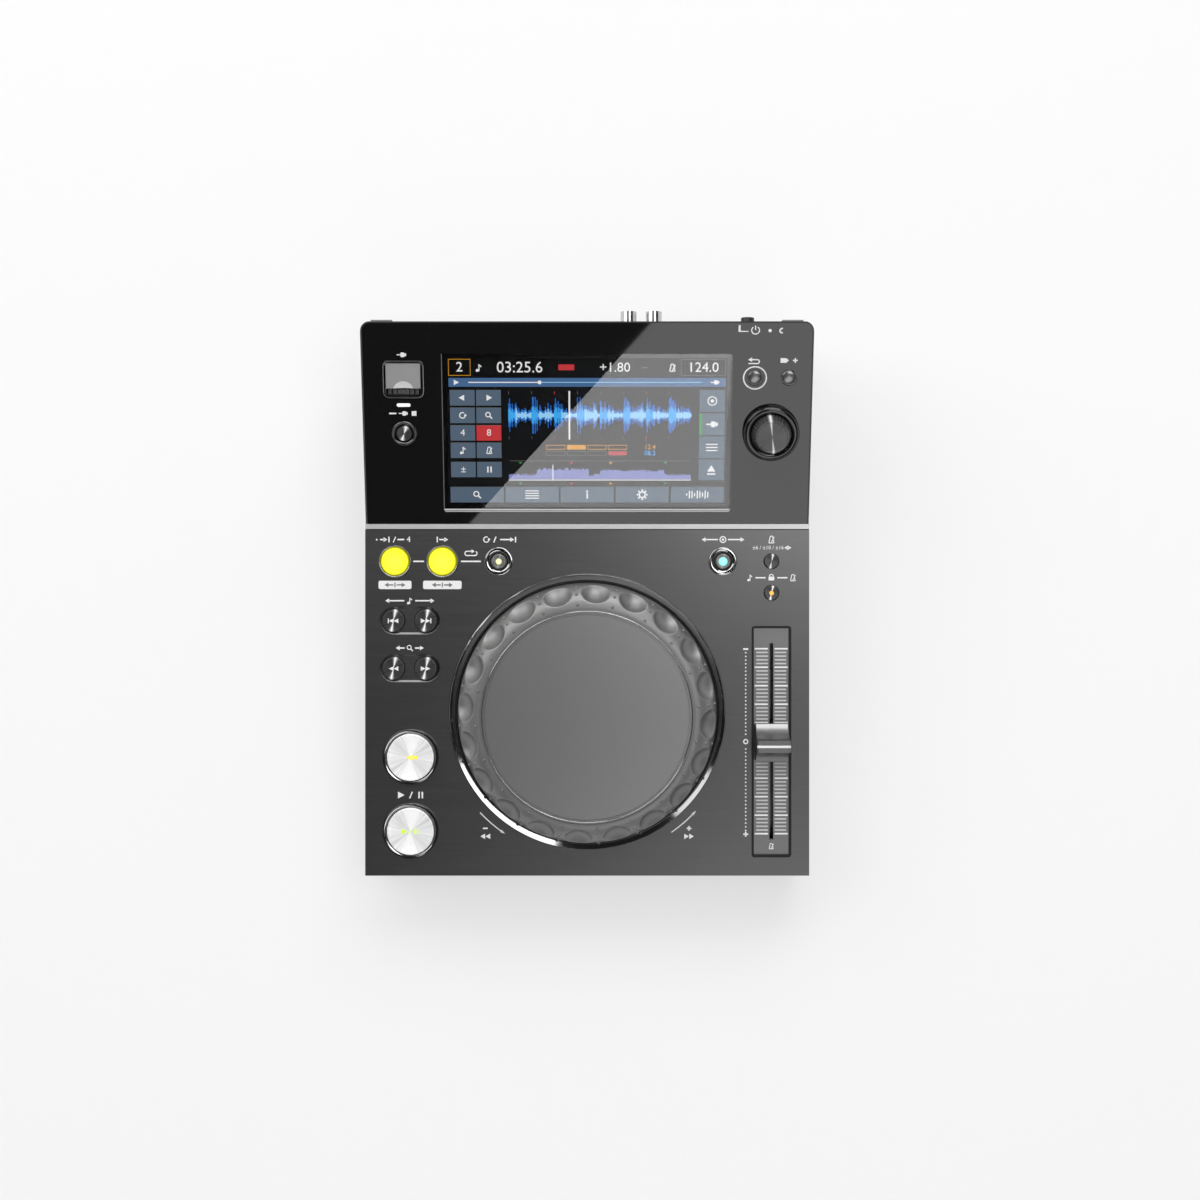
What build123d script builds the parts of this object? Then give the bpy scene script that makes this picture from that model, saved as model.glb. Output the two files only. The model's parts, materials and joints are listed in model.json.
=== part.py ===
from build123d import *
import os
from math import cos, radians, sin, tan

os.makedirs("parts", exist_ok=True)

# Tabletop media player for disc jockeys, in millimetres and degrees. +X is to the player's right, +Y is
# towards its sockets and +Z is up. The origin is on the table, under the middle of the whole object.
# Places on the deck and on the display panel are (across, up the slope, out of the surface).

# Housing
body_width = 228.0
deck_length = 177.6
deck_slope = 5.5
panel_length = 106.6
panel_slope = 20.0
front_height = 45.0
split_height = 24.0
wall = 2.6
skin = 2.5
floor_thickness = 2.5
base_inset = 0.8
base_chamfer = 1.2
rear_corner = 5.0
deck_plate = 1.5
fascia_plate = 3.0
fascia_inset = 0.3
fascia_bevel = 0.9
strip_gap = 0.6
strip_width = 2.4
strip_rise = 0.8

# Gaps
slip = 0.1
clearance = 0.3
running = 0.05
contact = 0.02
cut_over = 1.0
board_gap = 1.0

# Feet, posts and screws
foot_radius = 9.0
foot_height = 3.0
foot_pocket = 0.8
foot_edge = 20.0
post_radius = 3.6
post_reach = 0.6
post_margin = 12.0
boss_height = 12.0
screw_radius = 1.5
screw_grip = 9.0
head_radius = 2.8
head_height = 2.2
vent_count = 9
vent_pitch = 7.0
vent_width = 2.0
vent_length = 26.0

# Circuit boards
board_thickness = 1.6
board_drop = 8.0
board_margin = 7.6
standoff_radius = 3.0
standoff_height = 6.0
stud_radius = 2.5
stake_radius = 1.0
stake_height = 0.8
tact_size = 6.0
tact_body = 3.5
tact_plunger = 1.75
tact_height = 4.3
press_gap = 0.3

# Push buttons: cap radius, how far the cap stands out, and its travel
small_cap = 3.8
small_rise = 1.2
track_cap = 5.7
track_rise = 1.4
loop_cap = 6.9
loop_rise = 1.7
transport_cap = 12.0
transport_rise = 3.4
power_cap = 3.4
power_rise = 4.4
button_travel = 1.0
transport_travel = 1.5
cap_edge = 0.4
flange_lip = 1.2
flange_thickness = 1.0
stem_radius = 2.2

# Chrome bezels
loop_bezel = 8.4
loop_bezel_rise = 1.1
transport_bezel = 14.4
transport_bezel_rise = 2.4
stop_bezel = 6.4
reloop_bezel = 7.4
small_bezel_rise = 0.9
bezel_wall = 0.8
bezel_bevel = 0.5
small_bezel_gap = 1.1

# Rows and columns of the deck, from its nearest edge
loop_edge = 15.3
loop_pitch = 24.3
reloop_pitch = 29.0
loop_row_back = 16.2
track_edge = 14.6
track_pitch = 16.6
track_row_back = 46.6
track_row_pitch = 24.5
pair_recess_length = 31.0
pair_recess_width = 14.4
pair_recess_depth = 0.5
transport_edge = 23.5
play_row = 23.3
transport_pitch = 37.9
vinyl_edge = 44.3
tempo_edge = 19.4
tempo_row_pitch = 16.2

# Tempo slider
slider_front = 9.4
slider_recess_length = 118.8
slider_recess_width = 20.4
slider_recess_radius = 1.5
slider_sink = 1.2
slider_plate = 1.2
slider_travel = 96.0
slot_width = 2.0
lever_width = 1.4
lever_length = 4.2
track_body_width = 12.0
track_body_depth = 9.0
track_body_end = 7.0
track_wall = 1.0
carriage_length = 9.0
carriage_height = 3.0
knob_width = 17.0
knob_length = 19.2
knob_height = 15.6
knob_ridge = 6.2
knob_toe = 3.4
knob_fillet = 0.6

# Jog wheel, heights above the deck
jog_front = 13.5
jog_side = 43.1
jog_ring_width = 3.8
jog_ring_rise = 2.0
jog_ring_seat = 1.9
jog_gap = 1.1
shoulder_radius = 11.4
shoulder_start = 6.2
rim_wall = 4.6
rim_bottom = -0.4
plate_gap = 1.0
plate_thickness = 2.2
plate_bevel = 0.6
web_thickness = 2.5
plate_top = 19.5
dimple_count = 20
dimple_start = 4.0
dimple_radius = 10.5
dimple_depth = 3.3
dimple_angle = 46.0
jog_press_travel = 0.5
dish_margin = 6.0
dish_depth = 10.0
dish_wall = 2.0
dish_inset = 10.9
hub_radius = 9.0
bush_radius = 6.0
spindle_radius = 4.0
collar_radius = 7.5
collar_height = 1.0
clip_height = 1.1
clip_radius = 6.0
wheel_hub_radius = 7.5
wheel_hub_shoulder = 10.0
encoder_inset = 4.0
encoder_thickness = 0.6
encoder_slots = 24
encoder_slot_length = 4.0
sensor_size = 8.0
sensor_arm = 2.0
film_inset = 10.0
film_width = 8.0
film_thickness = 0.6

# Display
screen_front = 7.8
screen_back = 17.2
screen_border = 2.4
glass_thickness = 1.8
glass_sink = 0.2
glass_corner = 1.2
lcd_side_gap = 1.8
lcd_side_overhang = 1.35
lcd_end_overhang = 1.7
lcd_depth = 8.0
lcd_flange = 3.2
lcd_flange_thickness = 1.2
display_board_front = 36.0
display_board_rear = 20.0

# Display panel places, from its nearest edge
usb_edge = 21.3
usb_back = 30.2
led_back = 43.7
stop_back = 58.4
list_row_back = 29.5
tag_edge = 12.4
back_pitch = 17.1
selector_edge = 20.9
selector_back = 57.9
standby_edge = 22.4
standby_back = 5.2
lens_length = 7.0
lens_width = 1.75
standby_radius = 0.9

# Rotary selector
collar_outer = 14.4
collar_rise = 4.5
collar_spigot = 12.6
knob_skirt = 10.2
knob_face = 8.2
knob_top = 10.0
knob_shoulder = 5.6
selector_travel = 0.8
selector_lift = 0.4
shaft_radius = 3.0
encoder_body = 12.4
encoder_top_gap = 1.0
encoder_bush = 4.5
encoder_bush_top = 1.5
rotor_radius = 5.1
rotor_cover = 1.2

# USB port
frame_width = 20.6
frame_length = 19.8
frame_corner = 4.0
frame_rise = 0.4
frame_flange = 1.5
frame_depth = 9.6
well_width = 18.4
well_length = 17.6
well_corner = 1.0
well_depth = 8.0
ledge_length = 3.7
ledge_depth = 2.4
ledge_ribs = 7
rib_height = 0.6
flap_width = 17.4
flap_thickness = 1.6
flap_sink = 0.1
hinge_back = 1.3
trunnion_radius = 0.5
trunnion_length = 1.0
trunnion_gap = 0.04
scoop_width = 10.6
scoop_length = 3.7
scoop_depth = 0.9
usb_slot_width = 13.2
usb_slot_height = 5.8
usb_shell = 0.35
usb_base = 1.0
usb_length = 14.0
usb_tongue = 1.9
usb_tongue_sink = 1.5
usb_shift = 1.2

# Rear face
window_side = 24.0
window_end = 52.0
window_sill = 30.0
window_top = 88.0
sheet = 1.2
sheet_lap = 3.0
bumper_width = 10.6
bumper_edge = 5.2
bumper_seat = 80.0
bumper_height = 13.0
bumper_reach = 1.2
power_edge = 32.1
power_height = 78.0
power_switch_width = 7.6
jack_height = 53.0
jack_board_depth = 34.0
jack_lip = 0.4
phono_shift = 111.5
phono_pitch = 13.1
phono_reach = 10.0
phono_radius = 4.15
phono_bore = 1.6
phono_shell = 0.7
phono_collar = 5.4
phono_collar_thickness = 1.0
phono_block_depth = 12.0
phono_block_height = 14.0
network_shift = 70.0
network_width = 16.0
network_height = 13.6
network_depth = 16.0
network_wall = 2.0
usb_b_shift = 43.0
usb_b_width = 12.0
usb_b_height = 11.0
usb_b_depth = 16.0
usb_b_wall = 1.6
usb_b_tongue = 3.2
inlet_shift = 14.0
inlet_height = 44.0
inlet_width = 24.0
inlet_tall = 15.0
inlet_depth = 20.0
inlet_wall = 3.0
inlet_pin_radius = 1.2
inlet_pin_pitch = 8.6
inlet_pin_length = 10.0

# Inner boards on the floor
main_board_width = 150.0
main_board_length = 110.0
main_board_side = 14.0
main_board_front = 78.0
power_board_width = 66.0
power_board_length = 68.0
power_board_side = 15.0
power_board_rear = 11.0
hole_inset = 5.0

# Worked out from the sizes above
deck_tilt = radians(deck_slope)
panel_tilt = radians(panel_slope)
seam = strip_gap + strip_width
housing_depth = deck_length * cos(deck_tilt) + seam + panel_length * cos(panel_tilt)
y_front = -(housing_depth + phono_reach) / 2
y_rear = y_front + housing_depth
y_seam = y_rear - panel_length * cos(panel_tilt)
z_seam = front_height + deck_length * sin(deck_tilt) + strip_rise
half_width = body_width / 2
DECK = Location((0, y_front, front_height), (deck_slope, 0, 0))
PANEL = Location((0, y_seam, z_seam), (panel_slope, 0, 0))
REAR_TURN = (-90, 0, 0)
deck_depth = deck_plate + skin
panel_depth = fascia_plate + skin
floor_top = foot_height + floor_thickness
tall = z_seam + panel_length
LOW = (Align.CENTER, Align.CENTER, Align.MIN)

jog_ring_radius = half_width - jog_side
jog_centre = jog_front + jog_ring_radius
wheel_radius = jog_ring_radius - jog_ring_width - jog_gap
shoulder_centre = wheel_radius - shoulder_radius
disc_radius = shoulder_centre - plate_gap
web_top = plate_top - plate_thickness
dish_flange = jog_ring_radius - dish_inset
film_radius = dish_flange - film_inset
dish_radius = film_radius - film_width - dish_margin
encoder_radius = dish_radius - dish_wall - encoder_inset
screen_length = panel_length - screen_front - screen_back
screen_centre = screen_front + screen_length / 2
tag_x = half_width - tag_edge
back_x = tag_x - back_pitch
lcd_width = 2 * (back_x - small_cap - flange_lip - lcd_side_gap - lcd_flange)
lcd_length = screen_length + 2 * lcd_end_overhang
screen_width = lcd_width - 2 * lcd_side_overhang
usb_x = usb_edge - half_width
usb_t = panel_length - usb_back
selector_x = half_width - selector_edge
selector_t = panel_length - selector_back
loop_row = deck_length - loop_row_back
track_row = deck_length - track_row_back
search_row = track_row - track_row_pitch
cue_row = play_row + transport_pitch
loop_x = loop_edge - half_width
track_x = track_edge - half_width
transport_x = transport_edge - half_width
tempo_x = half_width - tempo_edge
slider_centre = slider_front + slider_recess_length / 2
window_left = window_side - half_width
window_right = half_width - window_end
phono_left = window_left + phono_shift
network_place = window_left + network_shift
usb_b_place = window_left + usb_b_shift
inlet_place = window_left + inlet_shift
main_board_place = (half_width - main_board_side - main_board_width / 2,
                    y_front + main_board_front + main_board_length / 2)
power_board_place = (power_board_side + power_board_width / 2 - half_width,
                     y_rear - power_board_rear - power_board_length / 2)


def disc(radius, low, high):
    """Cylinder about Z between two heights."""
    return Pos(0, 0, low) * Cylinder(radius, high - low, align=LOW)


def block(width, length, low, high):
    """Box about Z between two heights."""
    return Pos(0, 0, low) * Box(width, length, high - low, align=LOW)


def slab(width, length, radius, low, high):
    """Plate with rounded corners between two heights."""
    return Pos(0, 0, low) * extrude(RectangleRounded(width, length, radius), high - low)


def turned(points):
    """Solid turned about Z from its (radius, height) outline."""
    return revolve(make_face(Polyline([(r, 0, z) for r, z in points], close=True)), Axis.Z)


def prism(points, width):
    """Outline of (y, z) points carried across the body."""
    face = make_face(Polyline([(-width / 2, y, z) for y, z in points], close=True))
    return extrude(face, amount=width, dir=(1, 0, 0))


def on_deck(across, along, shape):
    return DECK * Pos(across, along, 0) * shape


def on_panel(across, along, shape):
    return PANEL * Pos(across, along, 0) * shape


def on_rear(across, height, shape):
    """Stands a shape on the rear face, with its own Z pointing out of the sockets' side."""
    return Location((across, y_rear, height), REAR_TURN) * shape


def joined(shapes):
    """Fuses a list of shapes into one."""
    return Part() + list(shapes)


def group(shapes):
    """Keeps touching pieces of one node as separate solids."""
    return Compound(children=[solid for shape in shapes for solid in shape.solids()])


def deck_z(y, drop):
    """Height at y of the deck's surface, lowered along its normal."""
    return front_height - drop / cos(deck_tilt) + (y - y_front) * tan(deck_tilt)


def panel_z(y, drop):
    """Height at y of the display panel's surface, lowered along its normal."""
    return z_seam - drop / cos(panel_tilt) + (y - y_seam) * tan(panel_tilt)


def envelope(inset, low, high):
    """Plan of the housing with its two rounded rear corners, drawn in by inset."""
    plan = Rectangle(body_width - 2 * inset, housing_depth - 2 * inset)
    plan = fillet(plan.vertices().sort_by(Axis.Y)[-2:], rear_corner - inset)
    return Pos(0, (y_front + y_rear) / 2, low) * extrude(plan, high - low)


# Every push button: name, place maker, across, along, depth to its board side, radius, rise, travel
class Button:
    def __init__(self, name, place, across, along, depth, radius, rise, travel=button_travel, bezel=None):
        self.name = name
        self.place = place
        self.across = across
        self.along = along
        self.depth = depth
        self.radius = radius
        self.rise = rise
        self.travel = travel
        self.bezel = bezel

    def put(self, shape):
        return self.place(self.across, self.along, shape)

    def bore(self):
        """Radius of the hole in the outer plate: round the bezel's spigot, or round the bare cap."""
        if self.bezel:
            return self.bezel.inner + bezel_wall + slip
        return self.radius + clearance

    def cap(self):
        under = -self.depth - clearance
        stem_low = -self.depth - board_drop + tact_height + self.travel + press_gap
        return self.put(turned([
            (0, stem_low),
            (stem_radius, stem_low),
            (stem_radius, under - flange_thickness),
            (self.radius + flange_lip, under - flange_thickness),
            (self.radius + flange_lip, under),
            (self.radius, under),
            (self.radius, self.rise - cap_edge),
            (self.radius - cap_edge, self.rise),
            (0, self.rise),
        ]))

    def tact(self):
        """Tact switch on the board, under the stem."""
        foot = -self.depth - board_drop
        body = block(tact_size, tact_size, foot, foot + tact_body)
        return self.put(body + disc(tact_plunger, foot + tact_body, foot + tact_height))


class Bezel:
    def __init__(self, inner, outer, rise):
        self.inner = inner
        self.outer = outer
        self.rise = rise

    def ring(self, plate):
        """Chrome ring on the plate, with a spigot that stands on the skin under it."""
        spigot = self.inner + bezel_wall
        return turned([
            (self.inner, -plate),
            (spigot, -plate),
            (spigot, 0),
            (self.outer, 0),
            (self.outer, self.rise - bezel_bevel),
            (self.outer - bezel_bevel, self.rise),
            (self.inner + bezel_bevel, self.rise),
            (self.inner, self.rise - bezel_bevel),
        ])


loop_rim = Bezel(loop_cap + clearance, loop_bezel, loop_bezel_rise)
transport_rim = Bezel(transport_cap + clearance, transport_bezel, transport_bezel_rise)
stop_rim = Bezel(small_cap + small_bezel_gap, stop_bezel, small_bezel_rise)
reloop_rim = Bezel(small_cap + small_bezel_gap, reloop_bezel, small_bezel_rise)


def deck_button(name, across, along, radius, rise, **extra):
    return Button(name, on_deck, across, along, deck_depth, radius, rise, **extra)


def panel_button(name, across, along, **extra):
    return Button(name, on_panel, across, along, panel_depth, small_cap, small_rise, **extra)


reloop_x = loop_x + loop_pitch + reloop_pitch
vinyl_x = half_width - vinyl_edge
master_row = loop_row - tempo_row_pitch
list_row = panel_length - list_row_back
stop_row = panel_length - stop_back
deck_buttons = [
    deck_button("loop_in_button", loop_x, loop_row, loop_cap, loop_rise, bezel=loop_rim),
    deck_button("loop_out_button", loop_x + loop_pitch, loop_row, loop_cap, loop_rise, bezel=loop_rim),
    deck_button("reloop_button", reloop_x, loop_row, small_cap, small_rise, bezel=reloop_rim),
    deck_button("vinyl_button", vinyl_x, loop_row, small_cap, small_rise, bezel=reloop_rim),
    deck_button("tempo_range_button", tempo_x, loop_row, small_cap, small_rise),
    deck_button("master_tempo_button", tempo_x, master_row, small_cap, small_rise),
    deck_button("track_back_button", track_x, track_row, track_cap, track_rise),
    deck_button("track_forward_button", track_x + track_pitch, track_row, track_cap, track_rise),
    deck_button("search_back_button", track_x, search_row, track_cap, track_rise),
    deck_button("search_forward_button", track_x + track_pitch, search_row, track_cap, track_rise),
    deck_button("cue_button", transport_x, cue_row, transport_cap, transport_rise,
                travel=transport_travel, bezel=transport_rim),
    deck_button("play_button", transport_x, play_row, transport_cap, transport_rise,
                travel=transport_travel, bezel=transport_rim),
]
panel_buttons = [
    panel_button("usb_stop_button", usb_x, stop_row, bezel=stop_rim),
    panel_button("back_button", back_x, list_row),
    panel_button("tag_button", tag_x, list_row),
]
power_x = half_width - power_edge
power = Button("power_button", on_rear, power_x, power_height, wall, power_cap, power_rise)
buttons = deck_buttons + panel_buttons + [power]

post_x = half_width - wall - post_radius + post_reach
post_rows = [y_front + post_margin, y_front + deck_length / 2, y_rear - post_margin]
posts = [(side * post_x, y) for side in (-1, 1) for y in post_rows]
feet_at = [(side * (half_width - foot_edge), y)
           for side in (-1, 1) for y in (y_front + foot_edge, y_rear - foot_edge)]
rear_screws = [(x, z) for x in (window_left - sheet_lap, window_right + sheet_lap)
               for z in (window_sill + sheet_lap, window_top - sheet_lap)]
pair_x = track_x + track_pitch / 2

# Studs that carry the boards under the skins
deck_studs = [
    (transport_x, (play_row + cue_row) / 2),
    (transport_x, (cue_row + search_row) / 2),
    (pair_x, (track_row + loop_row) / 2),
    (loop_x + loop_pitch + reloop_pitch / 2, loop_row),
    ((vinyl_x + tempo_x) / 2, loop_row),
    (vinyl_x, master_row),
]
panel_studs = [
    (usb_x - small_cap - stud_radius * 2, stop_row - small_cap - stud_radius),
    (usb_x + small_cap + stud_radius * 2, stop_row + small_cap + stud_radius * 2),
    (tag_x - back_pitch / 2, list_row),
    (selector_x, (selector_t + list_row) / 2 + stud_radius / 2),
]
power_stud_reach = power_cap + flange_lip + clearance + stud_radius
power_studs = [(power_x, power_height + side * power_stud_reach) for side in (-1, 1)]
stud_sets = [(on_deck, deck_studs, deck_depth), (on_panel, panel_studs, panel_depth),
             (on_rear, power_studs, wall)]


def stud(depth):
    """Post from a skin's inner face to its board, with a stake through the board."""
    seat = -depth - board_drop
    return disc(stud_radius, seat, -depth) + disc(stake_radius, seat - board_thickness - stake_height, seat)


# Housing shells
def upper_case():
    outer = prism([
        (y_front, split_height),
        (y_front, deck_z(y_front, deck_plate)),
        (y_seam, deck_z(y_seam, deck_plate)),
        (y_seam, panel_z(y_seam, fascia_plate)),
        (y_rear, panel_z(y_rear, fascia_plate)),
        (y_rear, split_height),
    ], body_width) & envelope(0, split_height, tall)
    low = split_height - cut_over
    web = y_seam - skin
    back = y_rear - wall
    cavity = prism([
        (y_front + wall, low),
        (y_front + wall, deck_z(y_front + wall, deck_depth)),
        (web, deck_z(web, deck_depth)),
        (web, panel_z(web, panel_depth)),
        (back, panel_z(back, panel_depth)),
        (back, low),
    ], body_width - 2 * wall)
    shell = outer - cavity
    inside = outer + prism([
        (y_front, boss_height), (y_front, split_height), (y_rear, split_height), (y_rear, boss_height),
    ], body_width - 2 * (base_inset + wall + slip))
    bosses = joined(Pos(x, y) * disc(post_radius, boss_height, tall) for x, y in posts) & inside
    bosses -= joined(Pos(x, y) * disc(screw_radius, boss_height, boss_height + screw_grip) for x, y in posts)
    studs = [place(a, b, stud(depth)) for place, spots, depth in stud_sets for a, b in spots]
    shell = shell + bosses + studs
    cuts = [b.put(disc(b.radius + clearance, -b.depth - cut_over, cut_over)) for b in buttons]
    cuts.append(on_deck(0, jog_centre, disc(dish_radius + slip, -deck_depth - cut_over, cut_over)))
    cuts.append(on_deck(tempo_x, slider_centre, slab(
        slider_recess_width, slider_recess_length, slider_recess_radius, -slider_sink - slider_plate, cut_over)))
    cuts.append(on_deck(tempo_x, slider_centre, block(
        2 * slot_width, slider_travel + lever_length + 2 * slot_width, -deck_depth - cut_over, cut_over)))
    cuts.append(on_panel(0, screen_centre, block(
        lcd_width + 2 * slip, lcd_length + 2 * slip, -panel_depth - cut_over, cut_over)))
    cuts.append(on_panel(usb_x, usb_t, slab(
        frame_width + 2 * slip, frame_length + 2 * slip, frame_corner, -panel_depth - cut_over, cut_over)))
    cuts.append(on_panel(selector_x, selector_t, disc(encoder_bush + slip, -panel_depth - cut_over, cut_over)))
    window = Box(window_right - window_left, 3 * wall, window_top - window_sill)
    cuts.append(Pos((window_left + window_right) / 2, y_rear, (window_sill + window_top) / 2) * window)
    cuts += [on_rear(x, z, disc(screw_radius, -wall - cut_over, cut_over)) for x, z in rear_screws]
    return shell - cuts


def bottom_case():
    shell = envelope(base_inset, foot_height, split_height)
    shell = chamfer(shell.faces().sort_by(Axis.Z)[0].edges(), base_chamfer)
    room_width = body_width - 2 * (base_inset + wall)
    room_length = housing_depth - 2 * (base_inset + wall)
    middle = (y_front + y_rear) / 2
    shell -= Pos(0, middle) * block(room_width, room_length, floor_top, split_height + cut_over)
    shell += [Pos(x, y) * disc(post_radius, foot_height, boss_height) for x, y in posts]
    for x, y, width, length in floor_boards():
        for a, b in corner_holes(width, length):
            post = disc(standoff_radius, floor_top - contact, floor_top + standoff_height)
            top = floor_top + standoff_height + board_thickness + stake_height
            shell += Pos(x + a, y + b) * (post + disc(stake_radius, floor_top, top))
    head_top = foot_height + clearance + head_height
    cuts = [Pos(x, y) * disc(screw_radius + slip, 0, boss_height + cut_over) for x, y in posts]
    cuts += [Pos(x, y) * disc(head_radius + slip, 0, head_top) for x, y in posts]
    cuts += [Pos(x, y) * disc(foot_radius + slip, 0, foot_height + foot_pocket) for x, y in feet_at]
    first = power_board_place[0] - (vent_count - 1) * vent_pitch / 2
    vent = block(vent_width, vent_length, 0, floor_top + cut_over)
    cuts += [Pos(first + i * vent_pitch, power_board_place[1]) * vent for i in range(vent_count)]
    return shell - cuts


def deck_panel():
    plate = DECK * Pos(0, deck_length / 2) * block(body_width, deck_length, -deck_plate, 0)
    cuts = [b.put(disc(b.bore(), -deck_depth, cut_over)) for b in deck_buttons]
    cuts.append(on_deck(0, jog_centre, disc(ring_spigot() + slip, -deck_depth, cut_over)))
    cuts.append(on_deck(tempo_x, slider_centre, slab(
        slider_recess_width, slider_recess_length, slider_recess_radius, -deck_depth, cut_over)))
    recess = extrude(SlotOverall(pair_recess_length, pair_recess_width), cut_over + pair_recess_depth)
    cuts += [on_deck(pair_x, row, Pos(0, 0, -pair_recess_depth) * recess) for row in (track_row, search_row)]
    return plate - cuts


def trim_strip():
    """Bright strip between the deck plate and the fascia, seated on the skin."""
    start = y_front + (deck_length + strip_gap) * cos(deck_tilt)
    stop = y_seam - slip
    return prism([
        (start, deck_z(start, deck_plate)),
        (start, z_seam),
        (stop, z_seam),
        (stop, deck_z(stop, deck_plate)),
    ], body_width - 2 * fascia_inset)


def display_fascia():
    plate = PANEL * Pos(0, panel_length / 2) * block(body_width, panel_length + 2 * fascia_plate, -fascia_plate, 0)
    plate &= prism([(y_seam, 0), (y_seam, tall), (y_rear, tall), (y_rear, 0)], body_width)
    plate &= envelope(fascia_inset, 0, tall)
    plate = plate - PANEL * Pos(0, -panel_length / 2) * block(body_width, panel_length, -deck_depth, cut_over)
    top = plate.faces().filter_by(lambda f: (f.normal_at() - PANEL.z_axis.direction).length < contact)[0]
    plate = chamfer(top.outer_wire().edges().sort_by(Axis.Y)[1:], fascia_bevel)
    view = -glass_sink - glass_thickness
    cuts = [b.put(disc(b.bore(), -panel_depth, cut_over)) for b in panel_buttons]
    cuts.append(on_panel(0, screen_centre, slab(
        screen_width + 2 * slip, screen_length + 2 * slip, glass_corner, view, cut_over)))
    cuts.append(on_panel(0, screen_centre, block(
        screen_width - 2 * screen_border, screen_length - 2 * screen_border, -panel_depth, cut_over)))
    cuts.append(on_panel(usb_x, usb_t, slab(
        frame_width + 2 * slip, frame_length + 2 * slip, frame_corner, -panel_depth, cut_over)))
    cuts.append(on_panel(selector_x, selector_t, disc(collar_spigot + slip, -panel_depth, cut_over)))
    return plate - cuts - lenses(slip, cut_over)


def lenses(gap, rise):
    """Light pipes in the fascia: the port's bar and the standby dot."""
    bar = extrude(SlotOverall(lens_length + 2 * gap, lens_width + 2 * gap), fascia_plate + rise)
    dot = disc(standby_radius + gap, -fascia_plate, rise)
    return [
        on_panel(usb_x, panel_length - led_back, Pos(0, 0, -fascia_plate) * bar),
        on_panel(half_width - standby_edge, panel_length - standby_back, dot),
    ]


# Display
def touch_glass():
    return on_panel(0, screen_centre, slab(
        screen_width, screen_length, glass_corner, -glass_sink - glass_thickness, -glass_sink))


def lcd_module():
    panel = block(lcd_width, lcd_length, -fascia_plate - lcd_depth, -fascia_plate)
    flange = block(lcd_width + 2 * lcd_flange, lcd_length + 2 * lcd_flange,
                   -panel_depth - lcd_flange_thickness, -panel_depth)
    return on_panel(0, screen_centre, panel + flange)


def display_board():
    stop = panel_length - display_board_rear
    length = stop - display_board_front
    top = -panel_depth - board_drop
    board = on_panel(0, display_board_front + length / 2,
                     block(body_width - 2 * (wall + board_margin), length, top - board_thickness, top))
    cuts = [on_panel(a, b, disc(stake_radius + slip, top - board_thickness - cut_over, top)) for a, b in panel_studs]
    port = block(usb_slot_width + 2 * board_gap, usb_slot_height + 2 * board_gap,
                 top - board_thickness - cut_over, top + cut_over)
    cuts.append(on_panel(usb_x, usb_t + usb_shift, port))
    cuts.append(on_panel(selector_x, selector_t, disc(
        shaft_radius + clearance * 2, top - board_thickness - cut_over, top + cut_over)))
    return board - cuts


# Boards under the deck and behind the power button
def control_boards():
    top = -deck_depth - board_drop
    low = top - board_thickness
    outer = half_width - wall - board_margin
    inner = -transport_x - transport_cap - flange_lip - stud_radius
    row_front = (track_row + loop_row) / 2 - 2 * stud_radius
    row_rear = loop_row + loop_cap + stud_radius
    reach = -reloop_x - small_cap - stud_radius
    column = Pos(-(outer + inner) / 2, row_rear / 2 + board_margin / 2) * block(
        outer - inner, row_rear - board_margin, low, top)
    row = Pos(-(outer + reach) / 2, (row_front + row_rear) / 2) * block(
        outer - reach, row_rear - row_front, low, top)
    right_reach = vinyl_x - small_cap - stud_radius
    right_front = master_row - small_cap - stud_radius
    right = Pos((outer + right_reach) / 2, (right_front + row_rear) / 2) * block(
        outer - right_reach, row_rear - right_front, low, top)
    stakes = [on_deck(a, b, disc(stake_radius + slip, low - cut_over, top)) for a, b in deck_studs]
    small_top = -wall - board_drop
    small_low = small_top - board_thickness
    small = on_rear(power_x, power_height, block(
        power_switch_width, 2 * (power_stud_reach + stud_radius), small_low, small_top))
    holes = [on_rear(a, b, disc(stake_radius + slip, small_low - cut_over, small_top)) for a, b in power_studs]
    return group([DECK * (column + row) - stakes, DECK * right - stakes, small - holes])


# Tempo slider
def fader_plate():
    plate = slab(slider_recess_width - 2 * slip, slider_recess_length - 2 * slip,
                 slider_recess_radius, -slider_sink - slider_plate, -slider_sink)
    slot = block(slot_width, slider_travel + lever_length + 2 * clearance, -deck_depth, 0)
    return on_deck(tempo_x, slider_centre, plate - slot)


def fader_body():
    """Slide potentiometer under the skin, open along its top."""
    length = slider_travel + lever_length + 2 * (carriage_length + track_body_end)
    low = -deck_depth - track_body_depth
    body = block(track_body_width, length, low, -deck_depth)
    body -= block(track_body_width - 2 * track_wall, length - 2 * track_wall,
                  low + track_wall, -deck_depth - track_wall)
    body -= block(slot_width + 2 * clearance, slider_travel + lever_length + 4 * clearance,
                  -deck_depth - track_wall - cut_over, 0)
    return on_deck(tempo_x, slider_centre, body)


def fader_lever():
    low = -deck_depth - track_body_depth + track_wall + clearance
    carriage = block(track_body_width - 2 * (track_wall + clearance), carriage_length,
                     low, low + carriage_height)
    tang = block(lever_width, lever_length, low, knob_height - 2 * slider_sink - knob_toe)
    return on_deck(tempo_x, slider_centre, carriage + tang)


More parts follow.
